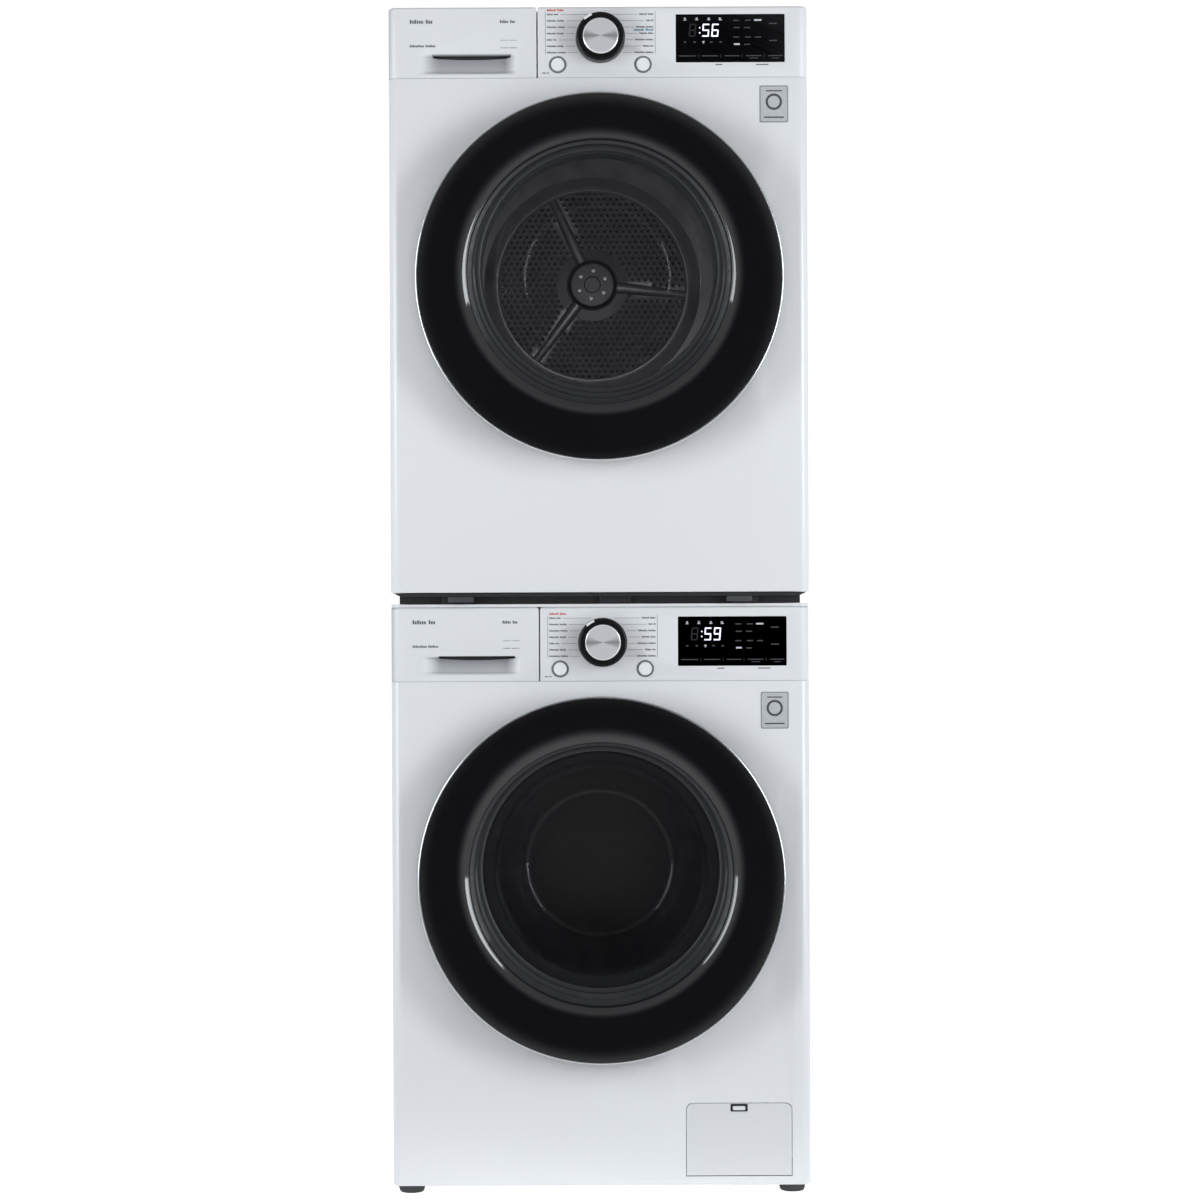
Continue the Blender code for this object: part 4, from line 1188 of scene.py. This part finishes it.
def dryer_base_pan():
    """The dark pan under the dryer, with slanted ends, just above the stacking frame's bar."""
    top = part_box("stacking_frame")[1].z
    outline = [(-0.2860, top - 0.0052), (0.2860, top - 0.0052), (0.2965, top - 0.0002),
               (-0.2965, top - 0.0002)]
    front = DRYER.front + 0.006
    mesh = slab("pan", outline, front, front + 0.0155, 0.0004)
    piece("dryer_base_pan", mesh, "root", DARK)
    for side in (-1, 1):
        left, right = sorted((side * 0.1815, side * 0.2180))
        mesh = block("pad", (left, front - 0.001, top - 0.0135), (right, front + 0.0145,
                                                                   top - 0.0056), 0.001)
        piece(f"stacking_pad_{'left' if side < 0 else 'right'}", mesh, "root",
              PAD_GREY)


def washer_top():
    """The washer's top, with round front corners over the fascia."""
    low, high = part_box("washer_top_panel")
    cabinet_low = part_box("washer_cabinet")[0]
    outline = rounded_outline(low.x, low.y, high.x, high.y, EDGE_RADIUS, 8)
    lip = horizontal("top", outline, WASHER.top + 0.0004, high.z, 0.0012)
    inner = horizontal("deck", [(low.x, cabinet_low.y), (high.x, cabinet_low.y),
                                (high.x, high.y), (low.x, high.y)], low.z, WASHER.top + 0.0010)
    mesh = carve(lip, [], [inner], edge=0)
    piece("washer_top", mesh, "root", ENAMEL, ("washer_top_panel",))


def horizontal(name, outline, low, high, bevel=0.0):
    """A level plate of an (x, y) outline, its upper edge softened."""
    work = bmesh.new()
    faces = add_slab(work, outline, -high, -low)
    if bevel:
        soften(work, faces[0].edges[:], bevel, 3)
    bmesh.ops.transform(work, verts=work.verts, matrix=Matrix.Rotation(math.radians(-90), 4, "X"))
    return finished(name, work)


def studs(name, places, radii, depth, back, steps, material):
    """Low round heads on a back wall, as one piece."""
    work = bmesh.new()
    for x, z in places:
        spot = Matrix.Translation((x, back + depth / 2 - 0.0001, z))
        turn = Matrix.Rotation(math.radians(-90), 4, "X")
        bmesh.ops.create_cone(work, cap_ends=True, segments=steps, radius1=radii[0],
                              radius2=radii[1], depth=depth, matrix=spot @ turn)
    soften(work, work.edges[:], 0.0003)
    piece(name, work, "root", material, (), 40)


def back_fixings(m):
    """Screws round the back of a machine, and pressed louvres above its base."""
    low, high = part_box(f"{m.name}_cabinet")
    back = WASHER_BACK if m is WASHER else DRYER_BACK
    left, right = low.x + SCREW_INSET, high.x - SCREW_INSET
    rows = [low.z + 0.018 + (high.z - low.z - 0.036) * i / 4 for i in range(5)]
    places = [(x, z) for z in rows for x in (left, right)]
    places += [(left + (right - left) * i / 3, z) for z in (rows[0], rows[-1]) for i in (1, 2)]
    studs(f"{m.name}_back_screws", places, (0.0055, 0.0050), 0.0012, back, 24, ZINC)
    studs(f"{m.name}_back_screw_heads", places, (0.0036, 0.0024), 0.0026, back, 6,
          ZINC)
    work = bmesh.new()
    for column in range(3):
        for row in range(7):
            x = -0.100 + 0.100 * column
            z = low.z + 0.050 + LOUVRE_PITCH * row
            size = Matrix.Diagonal((0.074, 0.0028, 0.0052, 1.0))
            spot = Matrix.Translation((x, back + 0.0012, z)) @ Matrix.Rotation(0.30, 4, "X")
            bmesh.ops.create_cube(work, size=1.0, matrix=spot @ size)
    soften(work, work.edges[:], 0.0010, 3)
    piece(f"{m.name}_back_louvres", work, "root", ENAMEL,
          (), 50)


def kept_nodes():
    for side in ("left", "right"):
        stretched_node(f"washer_spring_{side}", ZINC)
        stretched_node(f"washer_damper_{side}", DARK)
    for name, (material, soft) in KEPT.items():
        dress(name, material, soft)
    for end in ("front", "rear"):
        for side in ("left", "right"):
            dress(f"washer_foot_{end}_{side}", RUBBER, 0.0004)


# ---------------------------------------------------------------- stage, lights and camera

def floor_pale():
    """A pale floor that the camera sees a little brighter than it lights the machines."""
    material = bpy.data.materials.new("floor_pale")
    made = Graph(material)
    seen = made.node("LightPath").outputs["Is Camera Ray"]
    lift = made.node("MapRange", {"To Min": 0.24, "To Max": 0.72, "Value": seen})
    made.feed(made.tree.nodes["Principled BSDF"],
              {"Base Color": (0.86, 0.86, 0.87, 1), "Emission Color": (1, 1, 1, 1),
               "Emission Strength": lift.outputs["Result"]})
    return material


def stage():
    """A plain pale floor under the stack."""
    mesh = bpy.data.meshes.new("floor")
    mesh.from_pydata([(-4, -0.5, 0), (4, -0.5, 0), (4, 4, 0), (-4, 4, 0)], [], [(0, 1, 2, 3)])
    mesh.materials.append(floor_pale())
    placed_object("floor", mesh)


def area_light(name, place, target, size, power, colour=(1, 1, 1)):
    data = bpy.data.lights.new(name, "AREA")
    data.shape = "RECTANGLE"
    data.size, data.size_y = size
    data.energy = power
    data.color = colour
    lamp = placed_object(name, data)
    lamp.location = place
    lamp.rotation_euler = (Vector(target) - Vector(place)).to_track_quat("-Z", "Y").to_euler()
    return lamp


def studio():
    """A soft white surround that is darker behind the camera, and plain white as a backdrop."""
    world = bpy.data.worlds.new("studio")
    bpy.context.scene.world = world
    made = Graph(world)
    nodes = made.tree.nodes
    axes = made.axes("Generated")
    share = made.node("MapRange", {"From Min": -1.0, "Value": axes["Y"]}).outputs["Result"]
    fade = made.ramp(share, (0.03, 0.03, 0.035, 1), (0.62, 0.63, 0.66, 1), 0.01, 0.75)
    fade.color_ramp.interpolation = "EASE"
    fade.color_ramp.elements.new(0.17).color = (0.86, 0.865, 0.88, 1)
    rise = made.node("MapRange", {"From Min": -1.0, "To Min": 1.40, "To Max": 0.60,
                                  "Value": axes["Z"]}).outputs["Result"]
    path = made.node("LightPath").outputs
    lit = made.node("MapRange", {"To Min": 1.0, "To Max": 0.53, "Value": path["Is Diffuse Ray"]})
    level = made.node("Math", {0: rise, 1: lit.outputs["Result"]}, operation="MULTIPLY")
    soft = nodes["Background"]
    made.feed(soft, {"Color": fade.outputs["Color"], "Strength": level.outputs["Value"]})
    backdrop = made.node("Background", {"Color": (1, 1, 1, 1), "Strength": 1.05})
    blend = made.node("MixShader", {"Fac": path["Is Camera Ray"], 1: soft.outputs["Background"],
                                    2: backdrop.outputs["Background"]})
    made.feed(nodes["World Output"], {"Surface": blend.outputs["Shader"]})


def lights():
    """A softbox on each side, and a lamp in each drum that shines to the back."""
    for side, name, power in ((-1, "left_softbox", 47), (1, "right_softbox", 56)):
        area_light(name, (side * 2.6, -2.0, 1.25), (0, -0.3, 1.25), (0.90, 2.1), power,
                   (0.90, 0.955, 1.0))
    fill = area_light("front_fill", (0, -4.6, 1.3), (0, -0.3, 0.85), (3.0, 2.4), 16)
    fill.visible_glossy = False
    for m, power in ((WASHER, 0.012), (DRYER, 0.60)):
        start = Vector((0, m.drum_low.y + 0.06, m.drum_z - 0.02))
        end = Vector((0, m.drum_high.y, m.drum_z))
        area_light(f"{m.name}_drum_lamp", start, end, (0.22, 0.22), power)


def camera():
    """Level, square to the fronts, at the middle of the stack's height."""
    aside = -0.085
    data = bpy.data.cameras.new("camera")
    data.sensor_width = 36
    data.lens = data.sensor_width * EYE_DISTANCE / VIEW_WIDTH
    obj = placed_object("camera", data)
    obj.location = (aside, WASHER.front - EYE_DISTANCE, EYE_HEIGHT)
    data.shift_x = -aside / VIEW_WIDTH
    obj.rotation_euler = (math.radians(90), math.radians(0.24), 0)
    bpy.context.scene.camera = obj
    bpy.context.scene.view_settings.view_transform = "Standard"


camera()
stage()
studio()
lights()
for machine in (WASHER, DRYER):
    front_panel(machine)
    control_panel(machine)
    drawer_front(machine)
    door(machine)
    knob(machine)
    buttons(machine)
    display(machine)
    program_labels(machine)
    drawer_labels(machine)
    badge(machine)
    back_fixings(machine)
filter_cover()
washer_drum()
dryer_drum()
dryer_base_pan()
washer_top()
kept_nodes()
